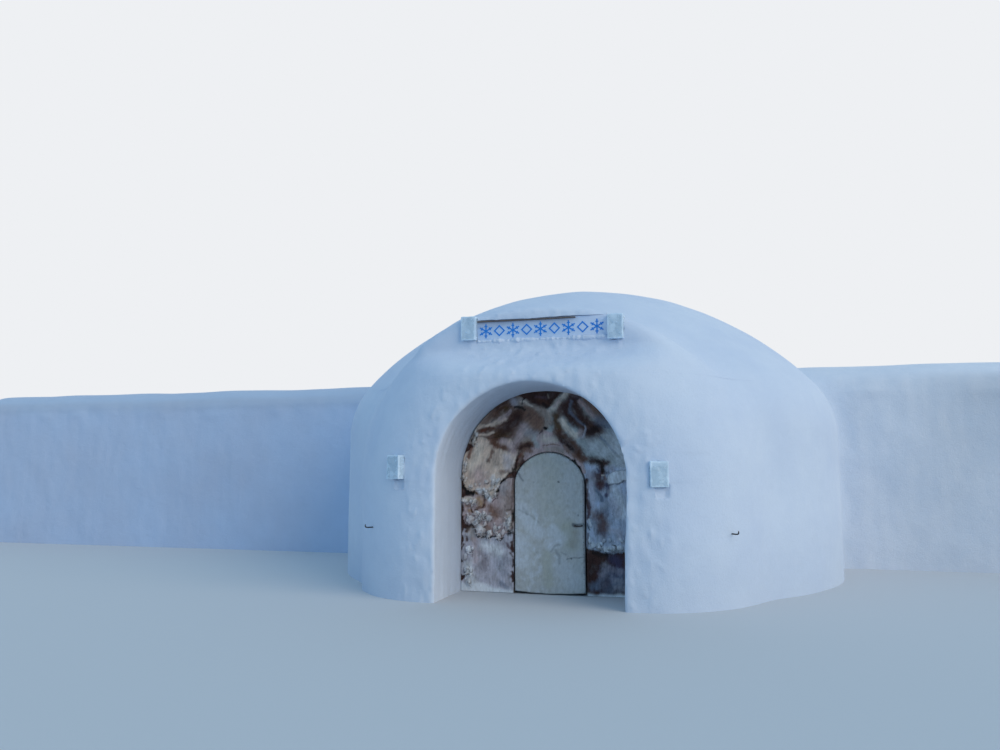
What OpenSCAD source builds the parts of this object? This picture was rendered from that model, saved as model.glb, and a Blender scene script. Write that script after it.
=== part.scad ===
// Round snow igloo with a projecting arched portal, a hide-covered entrance wall with an
// arched door, an ice-framed signboard and a long snow wall running off to each side.
// Millimetres, +Z up, -Y is the portal side. The origin is on the ground, in the middle
// of the footprint, and the modules below are written about the dome's own axis.

/* [Dome] */
// Outside radius of the upright lower wall
dome_r = 4305; // [4000:5:4700]
// Height of the crown over the ground
dome_h = 4960; // [4700:10:5300]
// Outside radius of the ball-shaped roof
cap_r = 5330; // [5100:10:5600]
// Radius that rounds the wall over into the roof
shoulder_r = 1300; // [900:50:1500]
// Thickness of the upright wall
wall_t = 1000; // [800:10:1150]
// Thickness of the snow at the crown
crown_t = 500; // [350:10:700]
// Radius that rounds the inside of the wall into the ceiling
inner_shoulder_r = 1000; // [700:50:1300]
// Height of the joint between the wall blocks and the vault blocks
lift_h = 1960; // [1700:10:2100]
// Radius of the crown block that closes the vault
crown_block_r = 1500; // [1200:10:1700]

/* [Front] */
// Distance from the dome's axis to the flat front of the portal
front_y = 4600; // [4500:10:4800]
// Half width of the thickened front
front_half_w = 2950; // [2800:10:3040]
// Radius of the front's rounded upright corners
front_corner_r = 1750; // [1500:10:1900]
// Height of the highest point of the thickened front
front_top_z = 4060; // [4000:10:4150]
// Height at which the front begins to lean back towards the sign
lean_z = 2950; // [2920:10:3050]
// Distance from the dome's axis to the snow face beside the sign
sign_face_y = 4060; // [4000:5:4200]
// Height at which the snow face beside the sign stands upright again
sign_face_z = 3480; // [3400:5:3500]

/* [Portal] */
// Half width of the arched recess
portal_half_w = 1290; // [1200:5:1350]
// Height at which the arch of the recess springs
portal_spring_z = 1620; // [1500:5:1700]
// Height of the top of the recess
portal_top_z = 2910; // [2800:5:2915]
// Distance from the dome's axis to the face of the hides
hide_y = 3450; // [3420:5:3520]
// Thickness of the layer of hides
hide_t = 40; // [20:1:60]
// Thickness of the board wall behind the hides
board_t = 60; // [40:1:70]
// Gap between the entrance wall and the snow around it
seat_gap = 0.3; // [0.1:0.1:2]

/* [Door] */
// Width of the door leaf
door_w = 1020; // [900:5:1100]
// Height of the door leaf
door_h = 1980; // [1900:5:2050]
// Height over the leaf's foot at which its arch springs
door_spring = 1530; // [1450:5:1600]
// Thickness of the door leaf
door_t = 80; // [60:1:90]
// Sideways place of the door's middle
door_x = 40; // [0:5:80]
// Gap around the door leaf
door_gap = 20; // [18:1:30]
// How far the leaf stands in front of the hides
door_proud = 10; // [0:1:20]
// Height of the lower hinge over the ground
low_hinge_z = 350; // [250:10:500]
// Height of the upper hinge over the ground
high_hinge_z = 1350; // [1200:10:1450]
// Radius of a hinge pin
pin_r = 8; // [6:0.5:9]
// Running gap between a hinge pin and its eye
pin_gap = 0.5; // [0.4:0.1:0.8]
// Outside radius of a hinge eye
eye_r = 14; // [13:0.5:15]
// Height of a hinge eye
eye_h = 60; // [40:1:90]
// Length of a hinge strap
strap_l = 420; // [300:10:600]
// Width of a hinge strap
strap_w = 50; // [40:1:60]
// Thickness of a hinge strap
strap_t = 6; // [4:0.5:10]
// Height of the door pull over the ground
pull_z = 970; // [900:5:1100]
// Width of the door pull between its two bosses
pull_w = 100; // [80:1:140]
// How far the pull stands out from the leaf
pull_reach = 45; // [35:1:60]

/* [Sign] */
// Width of the signboard
sign_w = 1860; // [1600:10:2000]
// Height of the signboard
sign_h = 310; // [280:5:330]
// Thickness of the signboard
sign_t = 30; // [20:1:40]
// Height of the signboard's lower edge
sign_z = 3550; // [3530:5:3570]
// Sideways place of the signboard's middle
sign_x = 65; // [0:5:90]
// Depth of the niche that the signboard stands in
niche_d = 70; // [60:1:120]
// Width of the ice blocks at the sign's ends
sign_ice_w = 220; // [180:5:240]
// Height of the ice blocks at the sign's ends
sign_ice_h = 345; // [320:5:360]
// Depth of the ice blocks at the sign's ends
sign_ice_d = 230; // [180:5:300]
// How far the end blocks stand in front of the snow face
sign_ice_proud = 60; // [20:5:90]

/* [Lanterns and pegs] */
// Angle of the left lantern around the front's rounded corner
left_lantern_turn = 23; // [18:1:26]
// Angle of the right lantern around the front's rounded corner
right_lantern_turn = 16; // [14:1:26]
// Width of an ice lantern
lantern_w = 240; // [220:5:260]
// Height of an ice lantern
lantern_h = 330; // [300:5:360]
// Depth of an ice lantern
lantern_d = 300; // [250:5:350]
// How far the left lantern stands out of the snow
left_lantern_proud = 90; // [20:5:95]
// How far the right lantern stands out of the snow
right_lantern_proud = 25; // [15:5:30]
// Height of the left lantern's foot
left_lantern_z = 1625; // [1550:5:1650]
// Height of the right lantern's foot
right_lantern_z = 1535; // [1500:5:1600]
// Height of the hollow left under a lantern
hollow_h = 130; // [80:5:140]
// Width of the hollow left under a lantern
hollow_w = 170; // [100:5:200]
// Angle of the left rope peg around the front's rounded corner
left_peg_turn = 43; // [40:1:55]
// Angle of the right rope peg around the front's rounded corner
right_peg_turn = 50; // [40:1:55]
// Height of the rope pegs
peg_z = 940; // [850:5:1050]
// Radius of a rope peg
peg_r = 9; // [6:0.5:12]
// Length of the peg inside the snow
peg_in = 220; // [150:5:300]
// Length of the peg that stands out of the snow
peg_out = 110; // [80:5:140]
// Length of the upturned tip of a peg
peg_tip = 45; // [30:5:60]

/* [Side walls] */
// Length of one bay of a side wall
bay_l = 3600; // [3000:50:3800]
// Distance from the dome's axis back to the face of the side walls
wing_y = 900; // [700:10:1100]
// Thickness of the side walls
wing_t = 2400; // [2000:10:2600]
// Height at which the side walls' faces start to round over
wing_face_h = 3050; // [2800:10:3200]
// Height of the crest of the left wall
left_crest_h = 3600; // [3450:10:3700]
// Height of the crest of the right wall
right_crest_h = 3720; // [3500:10:3800]
// Clearance between the dome and the bay that meets it
wing_gap = 0.6; // [0.5:0.1:0.9]

/* [Hidden] */

snow = [0.90, 0.94, 0.99];
portal_snow = [0.84, 0.90, 0.96];
ice = [0.66, 0.80, 0.86];
timber = [0.42, 0.35, 0.29];
hide = [0.38, 0.34, 0.32];
door_hide = [0.62, 0.66, 0.66];
dark_iron = [0.16, 0.17, 0.19];
sign_white = [0.80, 0.80, 0.86];

arc_step = 5;
round_steps = 360;
front_angle = 45;
segment_angle = (360 - 2 * front_angle) / 6;
far = 9000;
inner_r = dome_r - wall_t;
cap_z = dome_h - cap_r;
inner_cap_r = cap_r - crown_t;
// The rear of the dome and the portal's front lie equally far from the origin
footprint_shift = (front_y - dome_r) / 2;
wall_back_y = hide_y - hide_t - board_t;
door_foot_z = door_gap;
door_left_x = door_x - door_w / 2;
door_front_y = hide_y + door_proud;
door_back_y = door_front_y - door_t;
hinge_x = door_left_x - door_gap / 5;
hinge_y = wall_back_y - eye_r + 2;
pull_x = door_x + door_w / 2 - 90;
front_corner_x = front_half_w - front_corner_r;
front_corner_y = front_y - front_corner_r;
brow_z = portal_top_z + 100;

// Points of an arc about a centre, from one angle to another
function arc(cx, cz, r, a0, a1, step = arc_step) =
    let (n = ceil(abs(a1 - a0) / step))
    [for (i = [0 : n]) let (a = a0 + (a1 - a0) * i / n) [cx + r * cos(a), cz + r * sin(a)]];

// Right half of a ball-capped wall section: centre line, roof, rounded shoulder, foot
function shell_outline(r, ball_r, ball_z, round_r) =
    let (
        fx = r - round_r,
        fz = ball_z + sqrt(pow(ball_r - round_r, 2) - pow(fx, 2)),
        turn = atan2(fz - ball_z, fx)
    )
    concat(
        arc(0, ball_z, ball_r, 90, turn),
        arc(fx, fz, round_r, turn - arc_step, 0),
        [[r, 0], [0, 0]]
    );

// An arch from foot to foot, fuller than a half circle where power is over 2
function arch_outline(half_w, spring, top, power, steps = 32) = concat(
    [[-half_w, 0]],
    [for (i = [0 : steps])
        let (a = 180 - 180 * i / steps, c = cos(a))
        [half_w * sign(c) * pow(abs(c), 2 / power),
         spring + (top - spring) * pow(sin(a), 2 / power)]],
    [[half_w, 0]]
);

module placed() {
    translate([0, footprint_shift, 0]) children();
}

// A flat outline drawn in X and Z, from y = -front to y = -back
module wall_slab(front, back) {
    translate([0, -back, 0]) rotate([90, 0, 0]) linear_extrude(front - back) children();
}

module outer_section(extra = 0) {
    polygon(shell_outline(dome_r + extra, cap_r + extra, cap_z, shoulder_r + extra));
}

module inner_section() {
    polygon(shell_outline(inner_r, inner_cap_r, cap_z, inner_shoulder_r));
}

module shell_section() {
    difference() {
        outer_section();
        inner_section();
    }
}

module outer_form(extra = 0) {
    rotate_extrude($fn = round_steps) outer_section(extra);
}

module hall_form() {
    rotate_extrude($fn = round_steps) inner_section();
}

// One block of the upright wall, counted from the front's right edge
module wall_segment(index) {
    placed()
        rotate([0, 0, index * segment_angle - 90 + front_angle])
            rotate_extrude(angle = segment_angle, $fn = round_steps)
                translate([inner_r, 0]) square([wall_t, lift_h]);
}

// One block of the vault, from the wall joint up to the crown block
module vault_segment(index) {
    placed()
        rotate([0, 0, index * segment_angle - 90 + front_angle])
            rotate_extrude(angle = segment_angle, $fn = round_steps)
                intersection() {
                    shell_section();
                    translate([crown_block_r, lift_h]) square([far, far]);
                }
}

module wall_right_front() { color(snow) wall_segment(0); }
module wall_right_side() { color(snow) wall_segment(1); }
module wall_right_rear() { color(snow) wall_segment(2); }
module wall_left_rear() { color(snow) wall_segment(3); }
module wall_left_side() { color(snow) wall_segment(4); }
module wall_left_front() { color(snow) wall_segment(5); }
module vault_right_front() { color(snow) vault_segment(0); }
module vault_right_side() { color(snow) vault_segment(1); }
module vault_right_rear() { color(snow) vault_segment(2); }
module vault_left_rear() { color(snow) vault_segment(3); }
module vault_left_side() { color(snow) vault_segment(4); }
module vault_left_front() { color(snow) vault_segment(5); }

module crown_block() {
    color(snow) placed()
        rotate_extrude($fn = round_steps)
            intersection() {
                shell_section();
                square([crown_block_r, far]);
            }
}

// The front's plan: a flat face with rounded corners, run back to the dome's axis
module front_plan() {
    polygon(concat(
        [for (p = arc(front_corner_x, -front_corner_y, front_corner_r, 0, -90, 2 * arc_step)) p],
        [for (p = arc(-front_corner_x, -front_corner_y, front_corner_r, -90, -180, 2 * arc_step)) p],
        [[-front_half_w, 0], [front_half_w, 0]]
    ));
}

// The front's side view: upright, leaning back over the arch, upright beside the sign
module front_profile() {
    lean_d = front_y - sign_face_y;
    top_back_y = sqrt(pow(cap_r, 2) - pow(front_top_z - cap_z, 2)) - niche_d;
    polygon(concat(
        [[0, 0], [-front_y, 0]],
        [for (i = [0 : 8])
            let (s = i / 8)
            [-front_y + lean_d * (3 - 2 * s) * s * s, lean_z + (sign_face_z - lean_z) * s]],
        [[-sign_face_y, front_top_z - 140], [-sign_face_y + 120, front_top_z - 50],
         [-top_back_y, front_top_z], [0, front_top_z]]
    ));
}

// The front bulges around the portal's arch as it does around its sides
module front_form() {
    intersection() {
        union() {
            linear_extrude(portal_spring_z) front_plan();
            translate([0, 0, portal_spring_z])
                rotate([90, 0, 0])
                    rotate_extrude($fn = round_steps)
                        intersection() {
                            mirror([0, 1]) front_plan();
                            square(far);
                        }
        }
        rotate([90, 0, 90]) linear_extrude(2 * front_half_w, center = true) front_profile();
        wall_slab(far, 0)
            polygon(arch_outline(front_half_w, portal_spring_z, front_top_z, 1.9));
    }
}

// Place of something on the front's rounded corner: side is -1 on the left, 1 on the right
module on_corner(side, turn, z) {
    translate([side * (front_corner_x + front_corner_r * sin(turn)),
               -front_corner_y - front_corner_r * cos(turn), z])
        rotate([0, 0, side * turn]) children();
}

module lantern_block(side, turn, z, proud) {
    on_corner(side, turn, z)
        translate([-lantern_w / 2, -proud, 0]) cube([lantern_w, lantern_d, lantern_h]);
}

module left_lantern() { lantern_block(-1, left_lantern_turn, left_lantern_z, left_lantern_proud); }
module right_lantern() { lantern_block(1, right_lantern_turn, right_lantern_z, right_lantern_proud); }

module lantern_hollow(side, turn, z) {
    on_corner(side, turn, z)
        translate([lantern_w / 2 - hollow_w, -lantern_d / 2, -hollow_h])
            cube([hollow_w, lantern_d, hollow_h]);
}

module rope_peg(side, turn) {
    on_corner(side, turn, peg_z) {
        rotate([90, 0, 0])
            translate([0, 0, -peg_in]) cylinder(r = peg_r, h = peg_in + peg_out, $fn = 24);
        translate([0, -peg_out + peg_r, 0]) cylinder(r = peg_r, h = peg_tip, $fn = 24);
    }
}

module sign_ice_block(side) {
    translate([sign_x + side * (sign_w + sign_ice_w) / 2 - sign_ice_w / 2,
               -sign_face_y - sign_ice_proud,
               sign_z + (side < 0 ? 20 : -40)])
        cube([sign_ice_w, sign_ice_d, sign_ice_h]);
}

module sign_niche() {
    translate([sign_x - sign_w / 2, -far, sign_z])
        cube([sign_w, far - sign_face_y + niche_d, sign_h]);
}

module portal_opening() {
    wall_slab(far, inner_r / 2)
        polygon(arch_outline(portal_half_w, portal_spring_z, portal_top_z, 2.06));
}

// The whole snow mass between the two front wall blocks, cut for everything set in it
module front_mass() {
    difference() {
        intersection() {
            union() {
                outer_form();
                front_form();
            }
            linear_extrude(dome_h)
                polygon([[0, 0], [-far * sin(front_angle), -far * cos(front_angle)],
                         [far * sin(front_angle), -far * cos(front_angle)]]);
        }
        hall_form();
        cylinder(r = crown_block_r, h = dome_h, $fn = round_steps);
        portal_opening();
        sign_niche();
        for (side = [-1, 1]) sign_ice_block(side);
        left_lantern();
        right_lantern();
        lantern_hollow(-1, left_lantern_turn, left_lantern_z);
        lantern_hollow(1, right_lantern_turn, right_lantern_z);
        rope_peg(-1, left_peg_turn);
        rope_peg(1, right_peg_turn);
    }
}

// The part of the front mass between two heights, on one side or on both
module front_part(low, high, x0, x1) {
    placed()
        intersection() {
            front_mass();
            translate([x0, -far, low]) cube([x1 - x0, far, high - low]);
        }
}

module portal_left_jamb() { color(portal_snow) front_part(0, portal_spring_z, -far, 0); }
module portal_right_jamb() { color(portal_snow) front_part(0, portal_spring_z, 0, far); }
module portal_left_haunch() { color(portal_snow) front_part(portal_spring_z, brow_z, -far, 0); }
module portal_right_haunch() { color(portal_snow) front_part(portal_spring_z, brow_z, 0, far); }
module sign_brow() { color(snow) front_part(brow_z, dome_h, -far, far); }

module sign_board() {
    color(sign_white) placed()
        translate([sign_x - sign_w / 2, -sign_face_y + niche_d - sign_t, sign_z])
            cube([sign_w, sign_t, sign_h]);
}

module sign_left_ice() { color(ice) placed() sign_ice_block(-1); }
module sign_right_ice() { color(ice) placed() sign_ice_block(1); }
module left_ice_lantern() { color(ice) placed() left_lantern(); }
module right_ice_lantern() { color(ice) placed() right_lantern(); }
module left_rope_peg() { color(dark_iron) placed() rope_peg(-1, left_peg_turn); }
module right_rope_peg() { color(dark_iron) placed() rope_peg(1, right_peg_turn); }

module door_outline(extra) {
    translate([door_x, 0])
        polygon(arch_outline(door_w / 2 + extra, door_foot_z + door_spring,
                             door_foot_z + door_h + extra, 2.3));
}

// The entrance wall's face between two edges and two heights, with the door's opening cut
module entrance_panel(front, back, x0, x1, z0, z1) {
    placed()
        wall_slab(front, back)
            difference() {
                intersection() {
                    polygon(arch_outline(portal_half_w - seat_gap, portal_spring_z,
                                         portal_top_z - seat_gap, 2.06));
                    translate([x0, z0]) square([x1 - x0, z1 - z0]);
                }
                door_outline(door_gap);
            }
}

module entrance_boards(x0, x1, z0, z1) {
    color(timber) entrance_panel(hide_y - hide_t, wall_back_y, x0, x1, z0, z1);
}

module entrance_hides(x0, x1, z0, z1) {
    color(hide) entrance_panel(hide_y, hide_y - hide_t, x0, x1, z0, z1);
}

module entrance_left_boards() { entrance_boards(-far, door_x, 0, door_spring); }
module entrance_right_boards() { entrance_boards(door_x, far, 0, door_spring); }
module entrance_head_boards() { entrance_boards(-far, far, door_spring, far); }
module entrance_left_hides() { entrance_hides(-far, door_x, 0, door_spring); }
module entrance_right_hides() { entrance_hides(door_x, far, 0, door_spring); }
module entrance_head_hides() { entrance_hides(-far, far, door_spring, far); }

module door_leaf() {
    color(door_hide) placed()
        intersection() {
            wall_slab(door_front_y, door_back_y) door_outline(0);
            translate([-far, -far, door_foot_z]) cube(2 * far);
        }
}

// One hinge strap on the back of the leaf, with the eye that turns on the pin
module hinge_strap(z) {
    web_x = door_left_x + strap_t;
    difference() {
        union() {
            translate([web_x, -door_back_y, z]) cube([strap_l, strap_t, strap_w]);
            translate([web_x, -door_back_y, z])
                cube([2 * strap_t, door_back_y - hinge_y + strap_t / 2, strap_w]);
            translate([hinge_x, -hinge_y - strap_t / 2, z])
                cube([web_x - hinge_x + strap_t, strap_t, strap_w]);
            translate([hinge_x, -hinge_y, z]) cylinder(r = eye_r, h = eye_h, $fn = 48);
        }
        translate([hinge_x, -hinge_y, z - 1])
            cylinder(r = pin_r + pin_gap, h = eye_h + 2, $fn = 48);
    }
}

module door_hinge_straps() {
    color(dark_iron) placed()
        for (z = [low_hinge_z, high_hinge_z]) hinge_strap(z);
}

// One pin with the bracket that carries it on the back of the left boards
module hinge_pin(z) {
    edge_x = door_left_x - door_gap;
    plate_l = 2 * strap_w;
    translate([edge_x - plate_l, -wall_back_y, z - strap_w])
        cube([plate_l - strap_t, strap_t, strap_w + eye_h]);
    translate([edge_x - plate_l, -wall_back_y, z - strap_w])
        cube([plate_l + hinge_x - edge_x + eye_r, wall_back_y - hinge_y + eye_r, strap_w - 1]);
    translate([hinge_x, -hinge_y, z - strap_t]) cylinder(r = pin_r, h = eye_h + strap_t, $fn = 48);
}

module hinge_pins() {
    color(dark_iron) placed()
        for (z = [low_hinge_z, high_hinge_z]) hinge_pin(z);
}

module door_pull() {
    boss_r = 12;
    bar_r = 9;
    color(dark_iron) placed() {
        for (side = [-1, 1])
            translate([pull_x + side * pull_w / 2, -door_front_y, pull_z])
                rotate([90, 0, 0]) cylinder(r = boss_r, h = pull_reach, $fn = 32);
        translate([pull_x - pull_w / 2, -door_front_y - pull_reach + boss_r, pull_z])
            rotate([0, 90, 0]) cylinder(r = bar_r, h = pull_w, $fn = 32);
    }
}

// A side wall's section in Y and Z: upright faces under a round crest
module wing_section(crest_h) {
    rise = crest_h - wing_face_h;
    half = wing_t / 2;
    polygon(concat(
        [[wing_y + wing_t, 0], [wing_y + wing_t, wing_face_h]],
        [for (i = [1 : 15])
            let (a = 180 * i / 16, c = cos(a))
            [wing_y + half + half * sign(c) * pow(abs(c), 0.8),
             wing_face_h + rise * pow(sin(a), 0.8)]],
        [[wing_y, wing_face_h], [wing_y, 0]]
    ));
}

module wing_length(crest_h, x0, x1) {
    translate([x0, 0, 0]) rotate([90, 0, 90]) linear_extrude(x1 - x0) wing_section(crest_h);
}

// One bay of a side wall: the first bay runs in until it meets the dome
module wall_bay(side, crest_h, index) {
    near_x = dome_r + (index - 1) * bay_l;
    in_x = index == 1 ? inner_r / 2 : near_x;
    color(snow) placed()
        difference() {
            wing_length(crest_h, side < 0 ? -near_x - bay_l : in_x, side < 0 ? -in_x : near_x + bay_l);
            if (index == 1) outer_form(wing_gap);
        }
}

module left_wall_bay_1() { wall_bay(-1, left_crest_h, 1); }
module left_wall_bay_2() { wall_bay(-1, left_crest_h, 2); }
module left_wall_bay_3() { wall_bay(-1, left_crest_h, 3); }
module right_wall_bay_1() { wall_bay(1, right_crest_h, 1); }
module right_wall_bay_2() { wall_bay(1, right_crest_h, 2); }
module right_wall_bay_3() { wall_bay(1, right_crest_h, 3); }

wall_right_front();
wall_right_side();
wall_right_rear();
wall_left_rear();
wall_left_side();
wall_left_front();
vault_right_front();
vault_right_side();
vault_right_rear();
vault_left_rear();
vault_left_side();
vault_left_front();
crown_block();
portal_left_jamb();
portal_right_jamb();
portal_left_haunch();
portal_right_haunch();
sign_brow();
sign_board();
sign_left_ice();
sign_right_ice();
left_ice_lantern();
right_ice_lantern();
left_rope_peg();
right_rope_peg();
entrance_left_boards();
entrance_right_boards();
entrance_head_boards();
entrance_left_hides();
entrance_right_hides();
entrance_head_hides();
door_leaf();
door_hinge_straps();
door_pull();
hinge_pins();
left_wall_bay_1();
left_wall_bay_2();
left_wall_bay_3();
right_wall_bay_1();
right_wall_bay_2();
right_wall_bay_3();
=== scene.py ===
import itertools
import math
import time

import bpy
import numpy as np
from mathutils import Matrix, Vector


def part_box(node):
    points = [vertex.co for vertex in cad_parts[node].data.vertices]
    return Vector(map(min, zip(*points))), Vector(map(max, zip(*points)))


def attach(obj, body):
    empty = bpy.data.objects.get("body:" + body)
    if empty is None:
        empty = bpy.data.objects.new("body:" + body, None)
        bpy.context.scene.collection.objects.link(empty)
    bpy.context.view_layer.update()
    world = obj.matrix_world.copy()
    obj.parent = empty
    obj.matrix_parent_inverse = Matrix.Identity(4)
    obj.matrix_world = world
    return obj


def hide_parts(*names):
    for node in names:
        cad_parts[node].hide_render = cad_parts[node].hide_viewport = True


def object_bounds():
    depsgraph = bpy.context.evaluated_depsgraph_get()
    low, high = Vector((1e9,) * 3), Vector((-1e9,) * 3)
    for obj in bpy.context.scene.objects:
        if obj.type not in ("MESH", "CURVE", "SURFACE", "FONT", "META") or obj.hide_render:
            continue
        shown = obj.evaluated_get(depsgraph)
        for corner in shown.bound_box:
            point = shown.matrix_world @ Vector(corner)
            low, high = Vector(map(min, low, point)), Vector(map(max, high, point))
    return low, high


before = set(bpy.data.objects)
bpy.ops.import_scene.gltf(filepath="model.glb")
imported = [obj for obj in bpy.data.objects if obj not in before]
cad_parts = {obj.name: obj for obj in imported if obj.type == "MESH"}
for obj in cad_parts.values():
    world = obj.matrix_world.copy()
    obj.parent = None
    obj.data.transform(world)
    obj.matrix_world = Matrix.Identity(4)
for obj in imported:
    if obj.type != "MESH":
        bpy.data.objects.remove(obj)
cadBounds = [list(corner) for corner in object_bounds()]
started = time.time()
scene = bpy.context.scene
igloo, door = "igloo", "door"


def stageDone(text):
    print(f"[{time.time() - started:5.1f} s] {text}")


def newObject(name, data):
    made = bpy.data.objects.new(name, data)
    scene.collection.objects.link(made)
    return made


# Camera, found from the portal's arches, the door and the dome's outline in the photo
cameraSetup = {"place": (2.538, -14.7585, 1.782), "yaw": 15.743, "pitch": 6.518, "lens": 29.19}


def addCamera(setup):
    data = bpy.data.cameras.new("photoCamera")
    data.lens = setup["lens"]
    data.sensor_width = 36
    data.clip_end = 500
    camera = newObject("photoCamera", data)
    camera.location = setup["place"]
    camera.rotation_euler = (math.radians(90 + setup["pitch"]), 0, math.radians(setup["yaw"]))
    scene.camera = camera


addCamera(cameraSetup)


# Noise: slopes on a lattice, blended, about -1 to 1, with features of the given size in metres
noiseRng = np.random.default_rng(71)
noiseOrder = noiseRng.permutation(256)
noiseSlopes = noiseRng.normal(size=(256, 3))
noiseSlopes /= np.linalg.norm(noiseSlopes, axis=1)[:, None]


def noise(points, size, seed=0):
    place = np.asarray(points, float) / size + seed * 17.31
    cell = np.floor(place).astype(int)
    inside = place - cell
    fade = inside ** 3 * (inside * (inside * 6 - 15) + 10)
    total = np.zeros(len(place))
    for corner in itertools.product((0, 1), repeat=3):
        at = (cell + corner) & 255
        key = noiseOrder[(noiseOrder[(noiseOrder[at[:, 0]] + at[:, 1]) & 255] + at[:, 2]) & 255]
        share = np.prod(np.where(np.array(corner) > 0, fade, 1 - fade), axis=1)
        total += share * np.einsum("ij,ij->i", inside - corner, noiseSlopes[key])
    return total * 1.7


def layeredNoise(points, size, layers, seed=0):
    return sum(noise(points, size / 2 ** i, seed + i) / 2 ** i for i in range(layers))


def smoothStep(low, high, value):
    share = np.clip((value - low) / (high - low), 0, 1)
    return share * share * (3 - 2 * share)


def softMax(a, b, soft):
    reach = np.maximum(soft - np.abs(a - b), 0) / soft
    return np.maximum(a, b) + reach * reach * soft / 4


def softMin(a, b, soft):
    return -softMax(-a, -b, soft)


# The snow's own sizes, in metres about the dome's axis, as in the part's source
snowForm = {
    "axisY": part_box("crown_block")[0][1] / 2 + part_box("crown_block")[1][1] / 2,
    "domeR": 4.305, "domeH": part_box("crown_block")[1][2], "capR": 5.33, "shoulderR": 1.3,
    "wallT": 1.0, "crownT": 0.5, "innerShoulderR": 1.0, "crownBlockR": 1.5,
    "frontY": 4.6, "frontHalfW": 2.95, "frontCornerR": 1.75, "frontTop": 4.06, "leanZ": 2.95,
    "signFaceY": 4.06, "signFaceZ": 3.48,
    "portalHalfW": 1.29, "springZ": 1.62, "portalTop": 2.91, "browZ": 3.01,
    "portalEdge": 0.05, "frontBlend": 0.30,
    "shoulderLine": ((-1.62, -3.86, 3.46), (-1.06, -3.86, 3.81)), "shoulderThick": 0.14,
    "lanternSize": (0.24, 0.30, 0.33), "hollowW": 0.17, "hollowH": 0.13,
    "wingY": 0.9, "wingT": 2.4, "wingFaceH": 3.05, "leftCrest": 3.6, "rightCrest": 3.72, "bayL": 3.6,
}
sf = snowForm
lanterns = {
    "left_ice_lantern": {"side": -1, "turn": 23, "z": 1.625, "proud": 0.09},
    "right_ice_lantern": {"side": 1, "turn": 16, "z": 1.535, "proud": 0.025},
}


def shellDistance(across, z, radius, ballR, roundR):
    ballZ = sf["domeH"] - sf["capR"]
    roundX = radius - roundR
    roundZ = ballZ + math.sqrt((ballR - roundR) ** 2 - roundX ** 2)
    turn = math.atan2(roundZ - ballZ, roundX)
    ball = np.hypot(across, z - ballZ) - ballR
    dx, dz = across - roundX, z - roundZ
    shoulder = np.hypot(dx, dz) - roundR
    onShoulder = (dz > 0) & (dx * math.sin(turn) > dz * math.cos(turn))
    return np.where(onShoulder, shoulder, np.where(dz <= 0, np.maximum(across - radius, ball), ball))


# Distance to an arch: upright below its spring, and a full curve over it
def archDistance(x, z, halfW, spring, top, power):
    rise = np.maximum(z - spring, 0)
    reach = ((np.abs(x) / halfW) ** power + (rise / (top - spring)) ** power) ** (1 / power)
    return np.hypot(x, rise) * (1 - 1 / np.maximum(reach, 0.05))


def frontDistance(x, y, z):
    across = np.hypot(x, np.maximum(z - sf["springZ"], 0))
    qx = across - (sf["frontHalfW"] - sf["frontCornerR"])
    qy = -y - (sf["frontY"] - sf["frontCornerR"])
    plan = np.hypot(np.maximum(qx, 0), np.maximum(qy, 0)) + np.minimum(np.maximum(qx, qy), 0) - sf["frontCornerR"]
    arch = archDistance(x, z, sf["frontHalfW"], sf["springZ"], sf["frontTop"], 2.0)
    share = np.clip((z - sf["leanZ"]) / (sf["signFaceZ"] - sf["leanZ"]), 0, 1)
    lean = sf["frontY"] - sf["signFaceY"]
    steep = lean / (sf["signFaceZ"] - sf["leanZ"]) * 6 * share * (1 - share)
    face = (-y - sf["frontY"] + lean * share * share * (3 - 2 * share)) / np.sqrt(1 + steep * steep)
    form = softMax(softMax(plan, arch, 0.12), softMax(face, z - sf["frontTop"], 0.12), 0.12)
    return np.maximum(form, y + 1)


def rodDistance(points, start, end):
    span = np.array(end) - np.array(start)
    share = np.clip((points - start) @ span / (span @ span), 0, 1)
    return np.linalg.norm(points - start - share[:, None] * span, axis=1)


def boxDistance(points, low, high):
    outside = np.maximum(np.asarray(low) - points, points - np.asarray(high))
    return np.linalg.norm(np.maximum(outside, 0), axis=1) + np.minimum(outside.max(axis=1), 0)


# A spot on the front's rounded corner, some degrees round from straight ahead
def cornerPlace(side, turn, z):
    r, turn = sf["frontCornerR"], math.radians(turn)
    return np.array((side * (sf["frontHalfW"] - r + r * math.sin(turn)),
                     -(sf["frontY"] - r) - r * math.cos(turn) + sf["axisY"], z))


# Points in a lantern's own axes: X along the snow face, -Y out of it, Z up from the lantern's foot
def lanternPoints(points, setup):
    turn = math.radians(setup["side"] * setup["turn"])
    off = points - cornerPlace(setup["side"], setup["turn"], setup["z"])
    c, s = math.cos(turn), math.sin(turn)
    return np.stack([off[:, 0] * c + off[:, 1] * s, off[:, 1] * c - off[:, 0] * s, off[:, 2]], axis=1)


def recessDistance(x, z):
    return archDistance(x, z, sf["portalHalfW"], sf["springZ"], sf["portalTop"], 2.06)


signLow, signHigh = (np.array(corner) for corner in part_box("sign_board"))


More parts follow.
